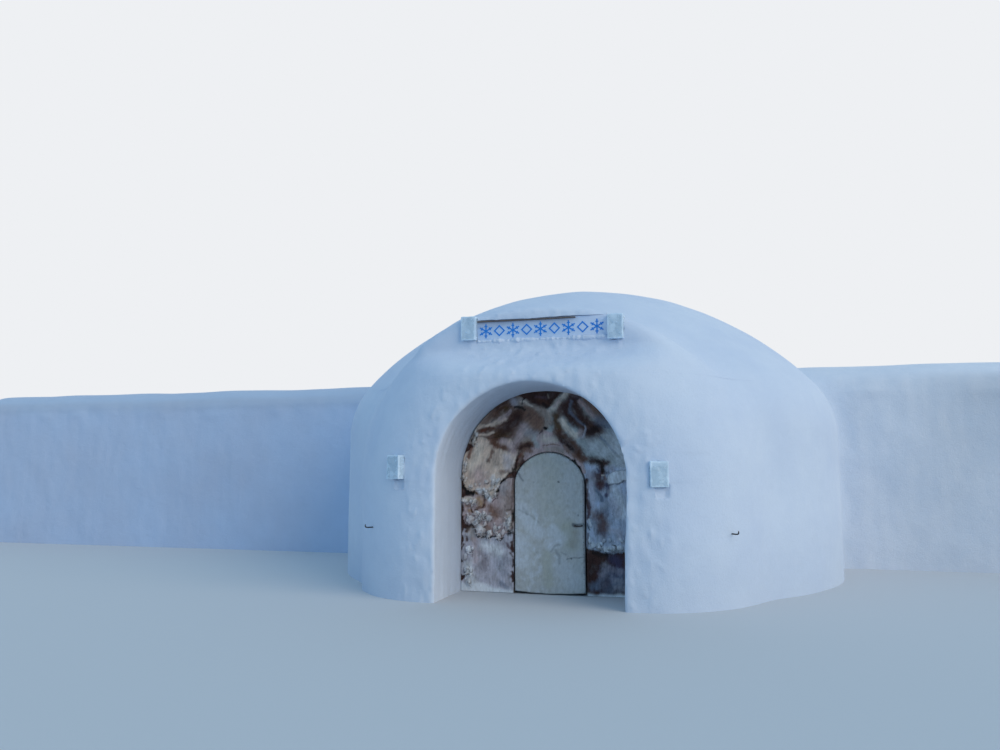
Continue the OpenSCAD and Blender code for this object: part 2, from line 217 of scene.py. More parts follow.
# The whole dome with its thickened front, hollow, and cut for everything set in it
def domeDistance(points):
    x, y, z = points[:, 0], points[:, 1] - sf["axisY"], points[:, 2]
    across = np.hypot(x, y)
    body = shellDistance(across, z, sf["domeR"], sf["capR"], sf["shoulderR"])
    nearFront = y < 0.3
    if nearFront.any():
        p = points[nearFront]
        xf, yf, zf = x[nearFront], y[nearFront], z[nearFront]
        front = softMin(body[nearFront], frontDistance(xf, yf, zf), sf["frontBlend"])
        front = softMin(front, rodDistance(np.stack([xf, yf, zf], axis=1), *sf["shoulderLine"])
                        - sf["shoulderThick"], 0.16)
        front = softMax(front, -boxDistance(p, (signLow[0], -9, signLow[2]), signHigh - (0, 0, 0.010)), 0.022)
        for name in ("sign_left_ice", "sign_right_ice"):
            low, high = (np.array(corner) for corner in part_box(name))
            front = softMax(front, -boxDistance(p, low + (0.014, -0.1, 0.014), high - 0.014), 0.010)
        for setup in lanterns.values():
            q = lanternPoints(p, setup)
            w, d, h = sf["lanternSize"]
            block = boxDistance(q, (0.014 - w / 2, -setup["proud"] - 0.1, 0.014),
                                (w / 2 - 0.014, d - setup["proud"] - 0.014, h - 0.014))
            hollow = boxDistance(q, (w / 2 - sf["hollowW"], -d, -sf["hollowH"]), (w / 2, 0.12 * d, 0.03))
            front = softMax(front, -softMin(block, hollow, 0.03), 0.008)
        squeeze = 1 + (0.028 + 0.030
                       * smoothStep(1.5, 0.2, zf)) * smoothStep(-3.45, -4.3, yf) * smoothStep(0, 0.4, xf)
        lap = (0.026 - 0.017 * smoothStep(0.6, 1.2, np.abs(xf))) * smoothStep(-3.95, -3.45, yf)
        recess = np.maximum(recessDistance(xf * squeeze, zf) + lap, yf + (sf["domeR"] - sf["wallT"]) / 2)
        body[nearFront] = softMax(front, -recess, sf["portalEdge"])
    hall = shellDistance(across, z, sf["domeR"] - sf["wallT"], sf["capR"] - sf["crownT"], sf["innerShoulderR"])
    return softMax(body, -hall, 0.12)


def roundDistance(points):
    return shellDistance(np.hypot(points[:, 0], points[:, 1] - sf["axisY"]), points[:, 2], sf["domeR"], sf["capR"],
                         sf["shoulderR"])


def wingDistance(points, crest):
    y, z = points[:, 1] - sf["axisY"] - sf["wingY"] - sf["wingT"] / 2, points[:, 2]
    return archDistance(y, z, sf["wingT"] / 2, sf["wingFaceH"], crest, 2.5)


# Unevenness of the snow, never outward past the solid by more than a few millimetres
def domeRelief(points, normals):
    x, y, z = points[:, 0], points[:, 1] - sf["axisY"], points[:, 2]
    edge = np.abs(recessDistance(x, z))
    front = smoothStep(-2.6, -3.6, y)
    reveal = front * (np.abs(normals[:, 1]) < 0.6) * (recessDistance(x, z) < 0.05)
    relief = 0.014 * layeredNoise(points, 1.4, 3, 2) - 0.010
    relief += front * 0.005 * noise(points, 0.30, 9)
    chopped = front * smoothStep(0.80, 0.05, edge) * (1 - reveal)
    crumbs = smoothStep(0.35, 0.75, noise(points * (1, 1, 0.7), 0.085, 13))
    relief += chopped * (0.010 * noise(points * (1, 1, 0.6), 0.12, 12) + 0.014 * crumbs + 0.007
                         * noise(points, 0.22, 14))
    aroundSign = smoothStep(0.30, 0.04, boxDistance(points, signLow - (0.1, 0.03, 0.1), signHigh + 0.03))
    relief += aroundSign * (0.008 * noise(points, 0.10, 16) + 0.014 * crumbs)
    scrape = 0.005 * noise(points * (0.3, 1, 0.12), 0.10, 21) + 0.004 * noise(points * (0.5, 1, 0.3), 0.3, 22)
    relief += reveal * scrape
    groove = np.exp(-((z - 1.6 - 0.01
                       * noise(points, 0.8, 4)) / 0.016) ** 2) + 0.7 * np.exp(-((z - 1.96) / 0.016) ** 2)
    relief -= 0.003 * groove * front * smoothStep(0.0, 0.6, noise(points, 0.5, 43)) * (np.abs(x) < 2.3)
    return np.minimum(relief, 0.012)


def wingRelief(points, normals):
    x, z = points[:, 0], points[:, 2]
    face = smoothStep(0.5, 0.9, np.abs(normals[:, 1]))
    along = np.stack([x, 0 * x, np.sign(normals[:, 1])], axis=1)
    shoulder = np.where(x < 0, 3.12, 3.26) + 0.09 * noise(along, 1.9, 33) + 0.05 * np.abs(noise(along, 0.55, 34))
    scoop = np.clip(noise(along, 0.62, 38) + 0.25, 0, 1)
    relief = 0.016 * layeredNoise(points, 1.7, 2, 31) - 0.010
    relief += (1 - face) * 0.018 * noise(along, 1.6, 35) * smoothStep(2.6, 3.4, z)
    relief -= 0.014 * smoothStep(0.07, -0.07, z - shoulder)
    relief += 0.036 * scoop * np.exp(-((z - shoulder + 0.13) / 0.10) ** 2)
    relief += face * (0.008 * noise(points, 0.42, 35) + 0.008 * noise(points * (1, 1, 0.3), 0.17, 36))
    return relief


# A mesh of the surface where distance() is 0, inside the cuts, as one closed solid with crisp cut edges
def netMesh(distance, cuts, low, high, cell, block=8, margin=1.7):
    low, high = np.array(low, float) - 1.5 * cell, np.array(high, float) + 1.5 * cell
    blocks = np.ceil((high - low) / cell / block).astype(int)

    def solid(points):
        values = distance(points)
        for cut in cuts:
            values = np.maximum(values, cut(points))
        return values

    index = np.stack(np.meshgrid(*[np.arange(n) for n in blocks], indexing="ij"), axis=-1).reshape(-1, 3)
    rough = solid(low + (index * block + (block - 1) / 2) * cell)
    field = np.sign(rough).reshape(blocks).astype(np.float32) * 9
    for axis in range(3):
        field = np.repeat(field, block, axis=axis)
    steps = np.stack(np.meshgrid(*[np.arange(block)] * 3, indexing="ij"), axis=-1).reshape(-1, 3)
    near = index[np.abs(rough) < block * cell * 0.87 * margin]
    for group in np.array_split(near, max(1, len(near) // 600)):
        points = (group[:, None] * block + steps[None]).reshape(-1, 3)
        field[points[:, 0], points[:, 1], points[:, 2]] = solid(low + points * cell)
    counts = np.array(field.shape) - 1
    full = [field[i:counts[0] + i, j:counts[1] + j, k:counts[2] + k]
            for i, j, k in itertools.product((0, 1), repeat=3)]
    below = sum((part < 0).astype(np.int8) for part in full)
    mixed = (below > 0) & (below < 8)
    number = np.full(counts, -1)
    number[mixed] = np.arange(mixed.sum())
    cells = np.argwhere(mixed)
    corners = np.array(list(itertools.product((0, 1), repeat=3)))
    values = np.stack([part[mixed] for part in full], axis=1)
    total, hits = np.zeros((len(cells), 3)), np.zeros(len(cells))
    for a, b in itertools.combinations(range(8), 2):
        if np.abs(corners[a] - corners[b]).sum() == 1:
            crossing = (values[:, a] < 0) != (values[:, b] < 0)
            share = np.where(crossing, values[:, a] / np.where(crossing, values[:, a] - values[:, b], 1), 0)
            total += crossing[:, None] * (corners[a] + share[:, None] * (corners[b] - corners[a]))
            hits += crossing
    points = low + (cells + total / hits[:, None]) * cell
    faces = []
    for axis in range(3):
        u, v = (axis + 1) % 3, (axis + 2) % 3
        start = np.take(field, range(counts[axis]), axis=axis)
        end = np.take(field, range(1, counts[axis] + 1), axis=axis)
        crossing = np.argwhere((start < 0) != (end < 0))
        u0, v0 = crossing[:, u], crossing[:, v]
        crossing = crossing[(u0 > 0) & (v0 > 0) & (u0 < counts[u]) & (v0 < counts[v])]
        ringShadow = []
        for du, dv in ((1, 1), (0, 1), (0, 0), (1, 0)):
            at = crossing.copy()
            at[:, u] -= du
            at[:, v] -= dv
            ringShadow.append(number[at[:, 0], at[:, 1], at[:, 2]])
        quads = np.stack(ringShadow, axis=1)
        outward = start[crossing[:, 0], crossing[:, 1], crossing[:, 2]] < 0
        faces.append(np.where(outward[:, None], quads, quads[:, ::-1]))
    return points, np.concatenate(faces), low + cells * cell


def slopeOf(distance, points, step=0.002):
    slope = np.zeros_like(points)
    for axis in range(3):
        off = np.zeros(3)
        off[axis] = step
        slope[:, axis] = (distance(points + off) - distance(points - off)) / (2 * step)
    return slope


def snowSolid(distance, relief, cuts, low, high, cell):
    points, faces, cellLow = netMesh(distance, cuts, low, high, cell)
    cornerSteps = np.array(list(itertools.product((0, cell), repeat=3)))
    active = []
    for cut in cuts:
        values = np.stack([cut(cellLow + step) for step in cornerSteps], axis=1)
        active.append((values.min(axis=1) < 0) & (values.max(axis=1) > 0))
    anyCut = np.any(active, axis=0)
    onSnow = np.ones(len(points), bool)
    near = np.flatnonzero(anyCut)
    values = np.stack([distance(cellLow[near] + step) for step in cornerSteps], axis=1)
    onSnow[near] = (values.min(axis=1) < 0) & (values.max(axis=1) > 0)
    normals = np.zeros_like(points)
    cutSlopes = [slopeOf(cut, points) for cut in cuts]
    for turn in range(3):
        for cut, on, slope in zip(cuts, active, cutSlopes):
            points[on] -= slope[on] * cut(points[on])[:, None]
        slope = slopeOf(distance, points[onSnow])
        full = slope / np.maximum(np.linalg.norm(slope, axis=1), 1e-6)[:, None]
        for on, cutSlope in zip(active, cutSlopes):
            part = on[onSnow]
            flat = cutSlope[onSnow][part]
            slope[part] -= flat * np.einsum("ij,ij->i", slope[part], flat)[:, None]
        size = np.maximum(np.einsum("ij,ij->i", slope, slope), 0.04)
        points[onSnow] -= np.clip(slope * (distance(points[onSnow]) / size)[:, None], -cell, cell)
        normals[onSnow] = full
    push = slope / np.sqrt(size)[:, None]
    if relief:
        points[onSnow] += push * relief(points[onSnow], normals[onSnow])[:, None]
    return points, faces, normals


def makeMesh(name, points, faces, sharp=50):
    mesh = bpy.data.meshes.new(name)
    mesh.from_pydata(np.asarray(points).tolist(), [],
                     np.asarray(faces).tolist() if isinstance(faces, np.ndarray) else faces)
    mesh.validate()
    mesh.shade_smooth()
    mesh.set_sharp_from_angle(angle=math.radians(sharp))
    return newObject(name, mesh)


def addAttribute(piece, name, values):
    values = np.asarray(values, np.float32)
    kind = "FLOAT" if values.ndim == 1 else "FLOAT_COLOR"
    layer = piece.data.attributes.new(name, kind, "POINT")
    layer.data.foreach_set("value" if kind == "FLOAT" else "color", values.ravel())


# Materials
def newMaterial(name, settings):
    material = bpy.data.materials.new(name)
    material.use_nodes = True
    shader = material.node_tree.nodes["Principled BSDF"]
    for socket, value in settings.items():
        shader.inputs[socket].default_value = value
    return material, material.node_tree, shader


def colour(red, green, blue):
    return tuple(((v / 255 + 0.055) / 1.055) ** 2.4 if v > 10 else v / 3294.6 for v in (red, green, blue)) + (1,)


def addNode(tree, kind, inputs=None, **settings):
    node = tree.nodes.new(kind)
    for key, value in settings.items():
        setattr(node, key, value)
    for key, value in (inputs or {}).items():
        if isinstance(value, bpy.types.NodeSocket):
            tree.links.new(value, node.inputs[key])
        else:
            node.inputs[key].default_value = value
    return node


def objectPoints(tree, scale=(1, 1, 1)):
    place = addNode(tree, "ShaderNodeTexCoord").outputs["Object"]
    return addNode(tree, "ShaderNodeMapping", {"Vector": place, "Scale": scale}).outputs["Vector"]


def noiseTexture(tree, vector, scale, detail=4, rough=0.55):
    return addNode(tree, "ShaderNodeTexNoise",
                   {"Vector": vector, "Scale": scale, "Detail": detail, "Roughness": rough}).outputs["Fac"]


def ramp(tree, value, low, high, first=0, last=1):
    ends = {"From Min": low, "From Max": high, "To Min": first, "To Max": last}
    return addNode(tree, "ShaderNodeMapRange", {"Value": value, **ends}).outputs["Result"]


def mixColours(tree, share, first, second):
    return addNode(tree, "ShaderNodeMix", {0: share, 6: first, 7: second}, data_type="RGBA").outputs[2]


def calc(tree, operation, first, second, **settings):
    return addNode(tree, "ShaderNodeMath", {0: first, 1: second}, operation=operation, **settings).outputs[0]


def scaled(tree, value, factor):
    return calc(tree, "MULTIPLY", value, factor)


def summed(tree, first, second):
    return calc(tree, "ADD", first, second)


def attribute(tree, name, output="Fac"):
    return addNode(tree, "ShaderNodeAttribute", attribute_name=name).outputs[output]


def vector(tree, **parts):
    return addNode(tree, "ShaderNodeCombineXYZ", parts).outputs[0]


# Gives a material its colour and, where there is a height, its bump
def tinted(material, tint, height=None, distance=0.0, strength=1.0):
    tree = material.node_tree
    shader = tree.nodes["Principled BSDF"]
    tree.links.new(tint, shader.inputs["Base Color"])
    if height:
        bump = addNode(tree, "ShaderNodeBump", {"Height": height, "Distance": distance, "Strength": strength})
        tree.links.new(bump.outputs["Normal"], shader.inputs["Normal"])
    return material


# A Geometry Nodes tree with named inputs: a first value tells an input's kind, and None stands for geometry
def newTree(name, sockets, result):
    kinds = {type(None): "Geometry", float: "Float", int: "Int", str: "String", tuple: "Vector"}
    tree = bpy.data.node_groups.new(name, "GeometryNodeTree")
    for label, value in sockets.items():
        socket = tree.interface.new_socket(label, in_out="INPUT", socket_type="NodeSocket" + kinds[type(value)])
        if value is not None:
            socket.default_value = value
    tree.interface.new_socket(result, in_out="OUTPUT", socket_type="NodeSocketGeometry")
    return tree, tree.nodes.new("NodeGroupInput").outputs


def endTree(tree, instances, material):
    real = addNode(tree, "GeometryNodeRealizeInstances", {0: instances})
    done = addNode(tree, "GeometryNodeSetMaterial", {"Geometry": real.outputs[0], "Material": material})
    tree.links.new(done.outputs[0], tree.nodes.new("NodeGroupOutput").inputs[0])
    return tree


# A colour laid over the tints of some points
def painted(tint, share, hue):
    share = share[:, None]
    return tint * (1 - share) + np.array(colour(*hue)) * share


def placePiece(piece, body, slot, *nodes):
    if nodes:
        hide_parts(*nodes)
    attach(piece, body)


snowLook = {
    "dome_snow": {"base": (208, 220, 238), "shade": (201, 214, 235), "scrapeAndLight": (208, 219, 236), "grain": 0.0055},
    "side_wall_snow": {"base": (227, 233, 245), "shade": (217, 225, 239), "scrapeAndLight": (199, 205, 216),
                       "grain": 0.0077},
    # The left wall's snow is the side walls' snow painted bluer and darker: painted shade on the left wall
    "shadedLeftWallSnow": {"base": (194, 216, 246), "shade": (188, 211, 242), "scrapeAndLight": (183, 194, 217),
                       "grain": 0.0077},
}


def snowMaterial(name, look):
    material, tree, shader = newMaterial(name, {"Roughness": 0.72, "Specular IOR Level": 0.25})
    place = objectPoints(tree)
    broad = noiseTexture(tree, place, 0.9, 3)
    middle = noiseTexture(tree, place, 5.5, 4)
    fine = noiseTexture(tree, place, 42, 5, 0.65)
    grain = noiseTexture(tree, place, 260, 3, 0.7)
    tint = mixColours(tree, ramp(tree, broad, 0.36, 0.66), colour(*look["base"]), colour(*look["shade"]))
    tint = mixColours(tree, attribute(tree, "scrapeAndLight"), tint, colour(*look["scrapeAndLight"]))
    tint = mixColours(tree, attribute(tree, "near"), tint, colour(*snowLook["dome_snow"]["base"]))
    mottle = summed(tree, scaled(tree, middle, 0.5), scaled(tree, fine, 0.5))
    tint = mixColours(tree, scaled(tree, ramp(tree, mottle, 0.62, 0.38), 0.10), tint, colour(170, 188, 212))
    # darker along the block seams, and where shade is painted low down and on the left wall's top
    tint = mixColours(tree, scaled(tree, attribute(tree, "seamAndShade"), 0.16), tint, colour(160, 174, 192))
    height = summed(tree, summed(tree, fine, scaled(tree, grain, 0.35)), scaled(tree, middle, 1.6))
    return tinted(material, tint, height, look["grain"], 0.8)


snowMaterials = {name: snowMaterial(name, look) for name, look in snowLook.items()}


def cutPlane(normal, offset):
    normal = np.array(normal, float)
    normal /= np.linalg.norm(normal)
    return lambda points: (points - (0, sf["axisY"], 0)) @ normal - offset


overlap = 0.03  # how far neighbouring pieces of snow run into each other


def crownSide(sign):
    return lambda points: sign * (np.hypot(points[:, 0], points[:, 1] - sf["axisY"]) - sf["crownBlockR"]) - overlap


aboveGround = cutPlane((0, 0, -1), 0)
frontLeft, frontRight = cutPlane((-1, 1, 0), overlap), cutPlane((1, 1, 0), overlap)
wallParts = list(itertools.product(("wall", "vault"), ("front", "side", "rear")))
wallNodes = {side: [f"{part}_{side}_{place}" for part, place in wallParts] for side in ("left", "right")}
snowPieces = {
    "domeLeft": {"low": (-4.31, -4.31, 0), "high": (0.03, 4.31, 4.9), "cell": 0.070, "nodes": wallNodes["left"],
                 "cuts": [aboveGround, crownSide(-1), cutPlane((1, 0, 0), overlap), cutPlane((1, -1, 0), overlap)]},
    "domeRight": {"low": (-0.03, -4.31, 0), "high": (4.31, 4.31, 4.9), "cell": 0.070, "nodes": wallNodes["right"],
                  "cuts": [aboveGround, crownSide(-1), cutPlane((-1, 0, 0), overlap),
                           cutPlane((-1, -1, 0), overlap)]},
    "domeCrown": {"low": (-1.53, -1.53, 4), "high": (1.53, 1.53, 4.98), "cell": 0.055, "nodes": ["crown_block"],
                  "cuts": [crownSide(1), cutPlane((0, 0, -1), -3)]},
    "portalLeft": {"low": (-3.1, -4.62, 0), "high": (0.03, 0, 3.04), "cell": 0.029,
                   "nodes": ["portal_left_jamb", "portal_left_haunch"],
                   "cuts": [aboveGround, frontLeft, frontRight, cutPlane((1, 0, 0), 0),
                            cutPlane((0, 0, 1), sf["browZ"] + overlap)]},
    "portalRight": {"low": (-0.03, -4.62, 0), "high": (3.1, 0, 3.04), "cell": 0.029,
                    "nodes": ["portal_right_jamb", "portal_right_haunch"],
                    "cuts": [aboveGround, frontLeft, frontRight, cutPlane((-1, 0, 0), overlap),
                             cutPlane((0, 0, 1), sf["browZ"] + overlap)]},
    "signBrow": {"low": (-3.1, -4.62, 2.98), "high": (3.1, -1, 4.95), "cell": 0.031, "nodes": ["sign_brow"],
                 "cuts": [frontLeft, frontRight, crownSide(-1), cutPlane((0, 0, -1), -sf["browZ"])]},
}


def finishSnow(name, solid, slot, nodes):
    points, faces, normals = solid
    points = np.clip(points, *cadBounds)
    piece = makeMesh(name, points, faces)
    x, y, z = points[:, 0], points[:, 1] - sf["axisY"], points[:, 2]
    if slot == "dome_snow":
        recess = recessDistance(x, z)
        reveal = (recess < 0.03) * smoothStep(-2.9, -3.3, y) * smoothStep(0.9, 0.5, np.abs(normals[:, 1]))
        rough = smoothStep(0.7, 0.05, np.abs(recess)) * smoothStep(-3.2, -3.8, y)
        rough *= smoothStep(-0.1, 0.4, noise(points, 0.35, 41))
        scrapeAndLight = np.clip(reveal + 0.6 * rough, 0, 1)
        wander = 0.012 * noise(points, 0.8, 4)
        seamAndShade = np.exp(-((z - 1.6 - wander) / 0.02) ** 2) + 0.8 * np.exp(-((z - 1.96 - wander) / 0.02) ** 2)
        seamAndShade *= smoothStep(-2.5, -3.6, y) * smoothStep(0.0, 0.6, noise(points, 0.5, 43)) * (np.abs(x) < 2.3)
        # painted shade: the dome's snow darker towards the ground
        seamAndShade += 1.3 * smoothStep(1.2, 0.0, z) * (1 - reveal)
    else:
        face = smoothStep(0.55, 0.9, np.abs(normals[:, 1]))
        worn = 0.65 + 0.25 * noise(points, 1.6, 45) + 0.10 * noise(points, 0.5, 47)
        # The faces turn to the scraped colour farther from the dome; near the dome they keep the paler base colour as
        # painted light where the dome shades them
        scrapeAndLight = face * worn * smoothStep(3.6, 7.0, np.abs(x)) + (1 - face) * 0.1
        near = smoothStep(0.7, 0.02, roundDistance(points))
        seamAndShade = 0.3 * face * smoothStep(0.35, 0.6, noise(points * (1, 1, 0.5), 0.25, 46))
        # painted shade: the left wall's top darker, and the walls darker towards the ground near the dome
        seamAndShade += 3.0 * (x < 0) * smoothStep(2.95, 3.3, z) * (1 - near) + 1.3 * smoothStep(1.2, 0.0, z) * near
        addAttribute(piece, "near", near)
    addAttribute(piece, "scrapeAndLight", scrapeAndLight)
    addAttribute(piece, "seamAndShade", seamAndShade)
    # the left wall takes the copy of the side walls' snow with painted shade
    look = "shadedLeftWallSnow" if slot == "side_wall_snow" and points[0, 0] < 0 else slot
    piece.data.materials.append(snowMaterials[look])
    placePiece(piece, igloo, slot, *nodes)
    stageDone(f"{name}: {2 * len(faces)} triangles")


def addSnow(name, setup):
    low, high = (np.array(setup[end]) + (0, sf["axisY"], 0) for end in ("low", "high"))
    solid = snowSolid(domeDistance, domeRelief, setup["cuts"], low, high, setup["cell"])
    finishSnow(name, solid, "dome_snow", setup["nodes"])


# Side walls: where bay 1 starts inside the dome, its fillet against the dome, and how deep it runs into it
wingSetup = {"innerX": 1.1, "fillet": 0.42, "deep": 0.24, "cell": 0.068}


def addWing(side, index, setup):
    hand = "left" if side < 0 else "right"
    crest, fillet, cell = sf[hand + "Crest"], setup["fillet"], setup["cell"]
    near, far = sf["domeR"] + (index - 1) * sf["bayL"], sf["domeR"] + index * sf["bayL"]
    inner = setup["innerX"] if index == 1 else near - overlap

    def distance(points):
        wing = wingDistance(points, crest)
        if index > 1:
            return wing
        dome = roundDistance(points)
        filled = softMin(wing, dome, fillet) + 0.03 * smoothStep(0.15, fillet, wing)
        return np.maximum(np.maximum(filled, wing - fillet), -dome - setup["deep"])

    cuts = [aboveGround, cutPlane((side, 0, 0), far), cutPlane((-side, 0, 0), -inner)]
    low = np.array((min(side * inner, side * far), sf["wingY"] + sf["axisY"] - 0.2, 0))
    high = (max(side * inner, side * far), sf["wingY"] + sf["wingT"] + sf["axisY"] + 0.2, crest + 0.1)
    solid = snowSolid(distance, wingRelief, cuts, np.floor(low / cell) * cell, high, cell)
    finishSnow(f"{hand}WallBay{index}", solid, "side_wall_snow", [f"{hand}_wall_bay_{index}"])


for pieceName, pieceSetup in snowPieces.items():
    addSnow(pieceName, pieceSetup)
for side, index in itertools.product((-1, 1), (1, 2, 3)):
    addWing(side, index, wingSetup)


def archTop(x, halfW, spring, top, power):
    if abs(x) > halfW:
        return 0.0
    return spring + (top - spring) * max(0.0, 1 - (abs(x) / halfW) ** power) ** (1 / power)


def doorWay(x, z, clear):
    return archDistance(x - 0.04, z, 0.51 + clear, 1.55, 2.0 + clear, 1.88)


# A piece against the wall: a grid in X and Z fitted to the lines that bound it, with a shaped front and a flat back
def panelSolid(bounds, front, backY, low, high, cell):
    size = [int(math.ceil((high[i] - low[i]) / cell)) + 3 for i in (0, 1)]
    xs, zs = (low[i] - cell + np.arange(size[i]) * cell for i in (0, 1))
    gridX, gridZ = np.meshgrid(xs, zs, indexing="ij")
    values = np.stack([bound(gridX.ravel(), gridZ.ravel()).reshape(size) for bound in bounds])
    inside = (values < 0).all(axis=0)
    inside[[0, -1]] = inside[:, [0, -1]] = False
    corners = lambda field: np.stack([field[..., a:a + size[0] - 1, b:b + size[1] - 1] for a in (0, 1)
                                      for b in (0, 1)], axis=-1)
    used = corners(inside).any(axis=-1)
    number = np.full(used.shape, -1)
    number[used] = np.arange(used.sum())
    cells = np.argwhere(used)
    start = np.stack([xs[cells[:, 0]], zs[cells[:, 1]]], axis=1) + cell / 2
    near = corners(values)[:, used]
    active = (near.min(axis=-1) < 0) & (near.max(axis=-1) > 0)
    flatPoints, step = start.copy(), 0.001
    for turn in range(6):
        for bound, on in zip(bounds, active):
            x, z = flatPoints[on].T
            slope = np.stack([bound(x + step, z) - bound(x - step, z), bound(x, z + step) - bound(x, z - step)],
                             axis=1) / (2 * step)
            flatPoints[on] -= slope * (bound(x, z) / np.maximum((slope ** 2).sum(axis=1), 0.05))[:, None]
            flatPoints = np.clip(flatPoints, start - 0.9 * cell, start + 0.9 * cell)
    ix, iz = np.nonzero(inside)
    quads = np.stack([number[ix - 1, iz - 1], number[ix, iz - 1], number[ix, iz], number[ix - 1, iz]], axis=1)
    edges = []
    for dx, dz, a, b in ((1, 0, (0, -1), (0, 0)), (0, 1, (0, 0), (-1, 0)), (-1, 0, (-1, 0), (-1, -1)),
                         (0, -1, (-1, -1), (0, -1))):
        ix, iz = np.nonzero(inside & ~np.roll(inside, (-dx, -dz), axis=(0, 1)))
        edges.append(np.stack([number[ix + a[0], iz + a[1]], number[ix + b[0], iz + b[1]]], axis=1))
    edges = np.concatenate(edges)
    rim = np.unique(edges)
    rear = {int(v): len(flatPoints) + i for i, v in enumerate(rim)}
    x, z = flatPoints.T
    points = np.stack([x, np.minimum(front(x, z), backY - 0.001), z], axis=1)
    points = np.concatenate([points, np.stack([x[rim], np.full(len(rim), backY), z[rim]], axis=1)])
    faces = [tuple(int(v) for v in quad) for quad in quads]
    faces += [(int(b), int(a), rear[int(a)], rear[int(b)]) for a, b in edges]
    following = {rear[int(b)]: rear[int(a)] for a, b in edges}
    while following:
        loop = [next(iter(following))]
        while loop[-1] in following:
            loop.append(following.pop(loop[-1]))
        faces.append(tuple(loop[:-1]))
    return points, faces, rim


# Hides nailed over the boards round the door, as one skin with ragged edges, folds, curls and tufts
# The near-black colour is painted shadow in the gaps and hollows between pelts, curls and the snow
hideColours = {
    "black": (12, 10, 11), "dark": (73, 46, 41), "plum": (94, 70, 77), "bark": (106, 68, 51), "moss": (98, 74, 41),
    "rust": (124, 72, 53),
    "umber": (140, 109, 95), "warm": (150, 114, 96), "taupe": (178, 162, 152), "rose": (201, 180, 181),
    "cream": (234, 214, 198), "bone": (245, 234, 220),
    "ochre": (184, 154, 126), "frost": (236, 241, 247), "snow": (238, 244, 252), "lilac": (202, 200, 212),
    "blue": (196, 207, 226), "slate": (128, 140, 162),
    "sage": (190, 198, 200), "navy": (84, 80, 112), "pearl": (240, 239, 241),
}


# X and Z of a line's points, from a row of them in mm
def readLine(row):
    return [(x / 1000, z / 1000) for x, z in zip(row[::2], row[1::2])]


# Each pelt: layer, colour, way its hair lies, swell and softness of its edge in metres, and its outline
pelts = [
    {"layer": 0, "base": "dark", "flow": (0, -1), "swell": 0.004, "soft": 0.004, "outline": readLine((
        -1400, -100, -1400, 3100, 1400, 3100, 1400, -100))},
    {"layer": 1, "base": "taupe", "flow": (-0.7, -0.7), "swell": 0.012, "soft": 0.012, "outline": readLine((
        -1220, 2160, -1120, 2360, -1000, 2480, -860, 2660, -620, 2840, -460, 2860, -360, 2800, -220, 2720,
        -100, 2660, 0, 2620, 40, 2300, -300, 1980, -600, 1900))},
    {"layer": 1, "base": "blue", "flow": (0.1, -1), "swell": 0.014, "soft": 0.004, "outline": readLine((
        500, 1900, 800, 2100, 1300, 2100, 1300, 620, 1080, 620, 1000, 610, 940, 590, 880, 600, 840, 580,
        760, 610, 720, 630, 660, 640, 600, 660, 540, 700))},
    {"layer": 1, "base": "sage", "flow": (0.6, -0.8), "swell": 0.012, "soft": 0.03, "outline": readLine((
        0, 2300, 0, 2600, 120, 2700, 200, 2800, 360, 2920, 700, 2860, 1300, 2300, 1300, 1820, 900, 1800,
        620, 1840, 400, 1950))},
    {"layer": 2, "base": "rose", "flow": (0, -1), "swell": 0.01, "soft": 0.014, "outline": readLine((
        -340, 1900, -300, 2030, -140, 2200, -90, 2300, 0, 2320, 100, 2280, 200, 2200, 360, 2040, 540, 1880,
        580, 1700, 0, 1600))},
    {"layer": 1, "base": "lilac", "flow": (0, -1), "swell": 0.014, "soft": 0.004, "outline": readLine((
        -1240, 900, -440, 950, -440, -100, -1310, -100, -1290, 160, -1235, 200, -1280, 250, -1310, 340,
        -1270, 430, -1310, 500, -1290, 600, -1275, 660, -1235, 740, -1275, 820))},
    {"layer": 2, "base": "rose", "flow": (-0.1, -1), "swell": 0.02, "soft": 0.004, "outline": readLine((
        -1285, 1330, -1200, 1365, -1100, 1365, -1060, 1460, -900, 1560, -600, 1620, -440, 1640, -440, 920,
        -500, 900, -580, 860, -640, 790, -680, 745, -720, 750, -750, 800, -820, 800, -860, 770, -900, 800,
        -1000, 790, -1050, 830, -1070, 920, -1120, 950, -1220, 950, -1258, 1050, -1250, 1200))},
    {"layer": 3, "base": "cream", "flow": (-0.25, -1), "swell": 0.022, "soft": 0.004, "outline": readLine((
        -1235, 1530, -1250, 1620, -1268, 1700, -1262, 1780, -1275, 1850, -1268, 1920, -1220, 2000, -1160,
        2040, -1080, 2140, -1020, 2240, -860, 2210, -700, 2240, -520, 2200, -400, 2040, -440, 1840, -470,
        1740, -580, 1680, -640, 1600, -680, 1540, -710, 1420, -800, 1340, -860, 1400, -940, 1460, -1020,
        1460, -1100, 1445, -1170, 1455, -1225, 1500))},
    {"layer": 3, "base": "frost", "flow": (0.3, -1), "swell": 0.008, "soft": 0.006, "outline": readLine((
        875, 1530, 1000, 1560, 1140, 1610, 1300, 1640, 1300, 1760, 980, 1740, 900, 1700, 880, 1640))},
]


def readMarks(rows):
    marks = []
    for name, width, strength, lift, *line in rows:
        marks.append((name, width / 1000, strength / 100, lift / 1000, readLine(line)))
    return marks


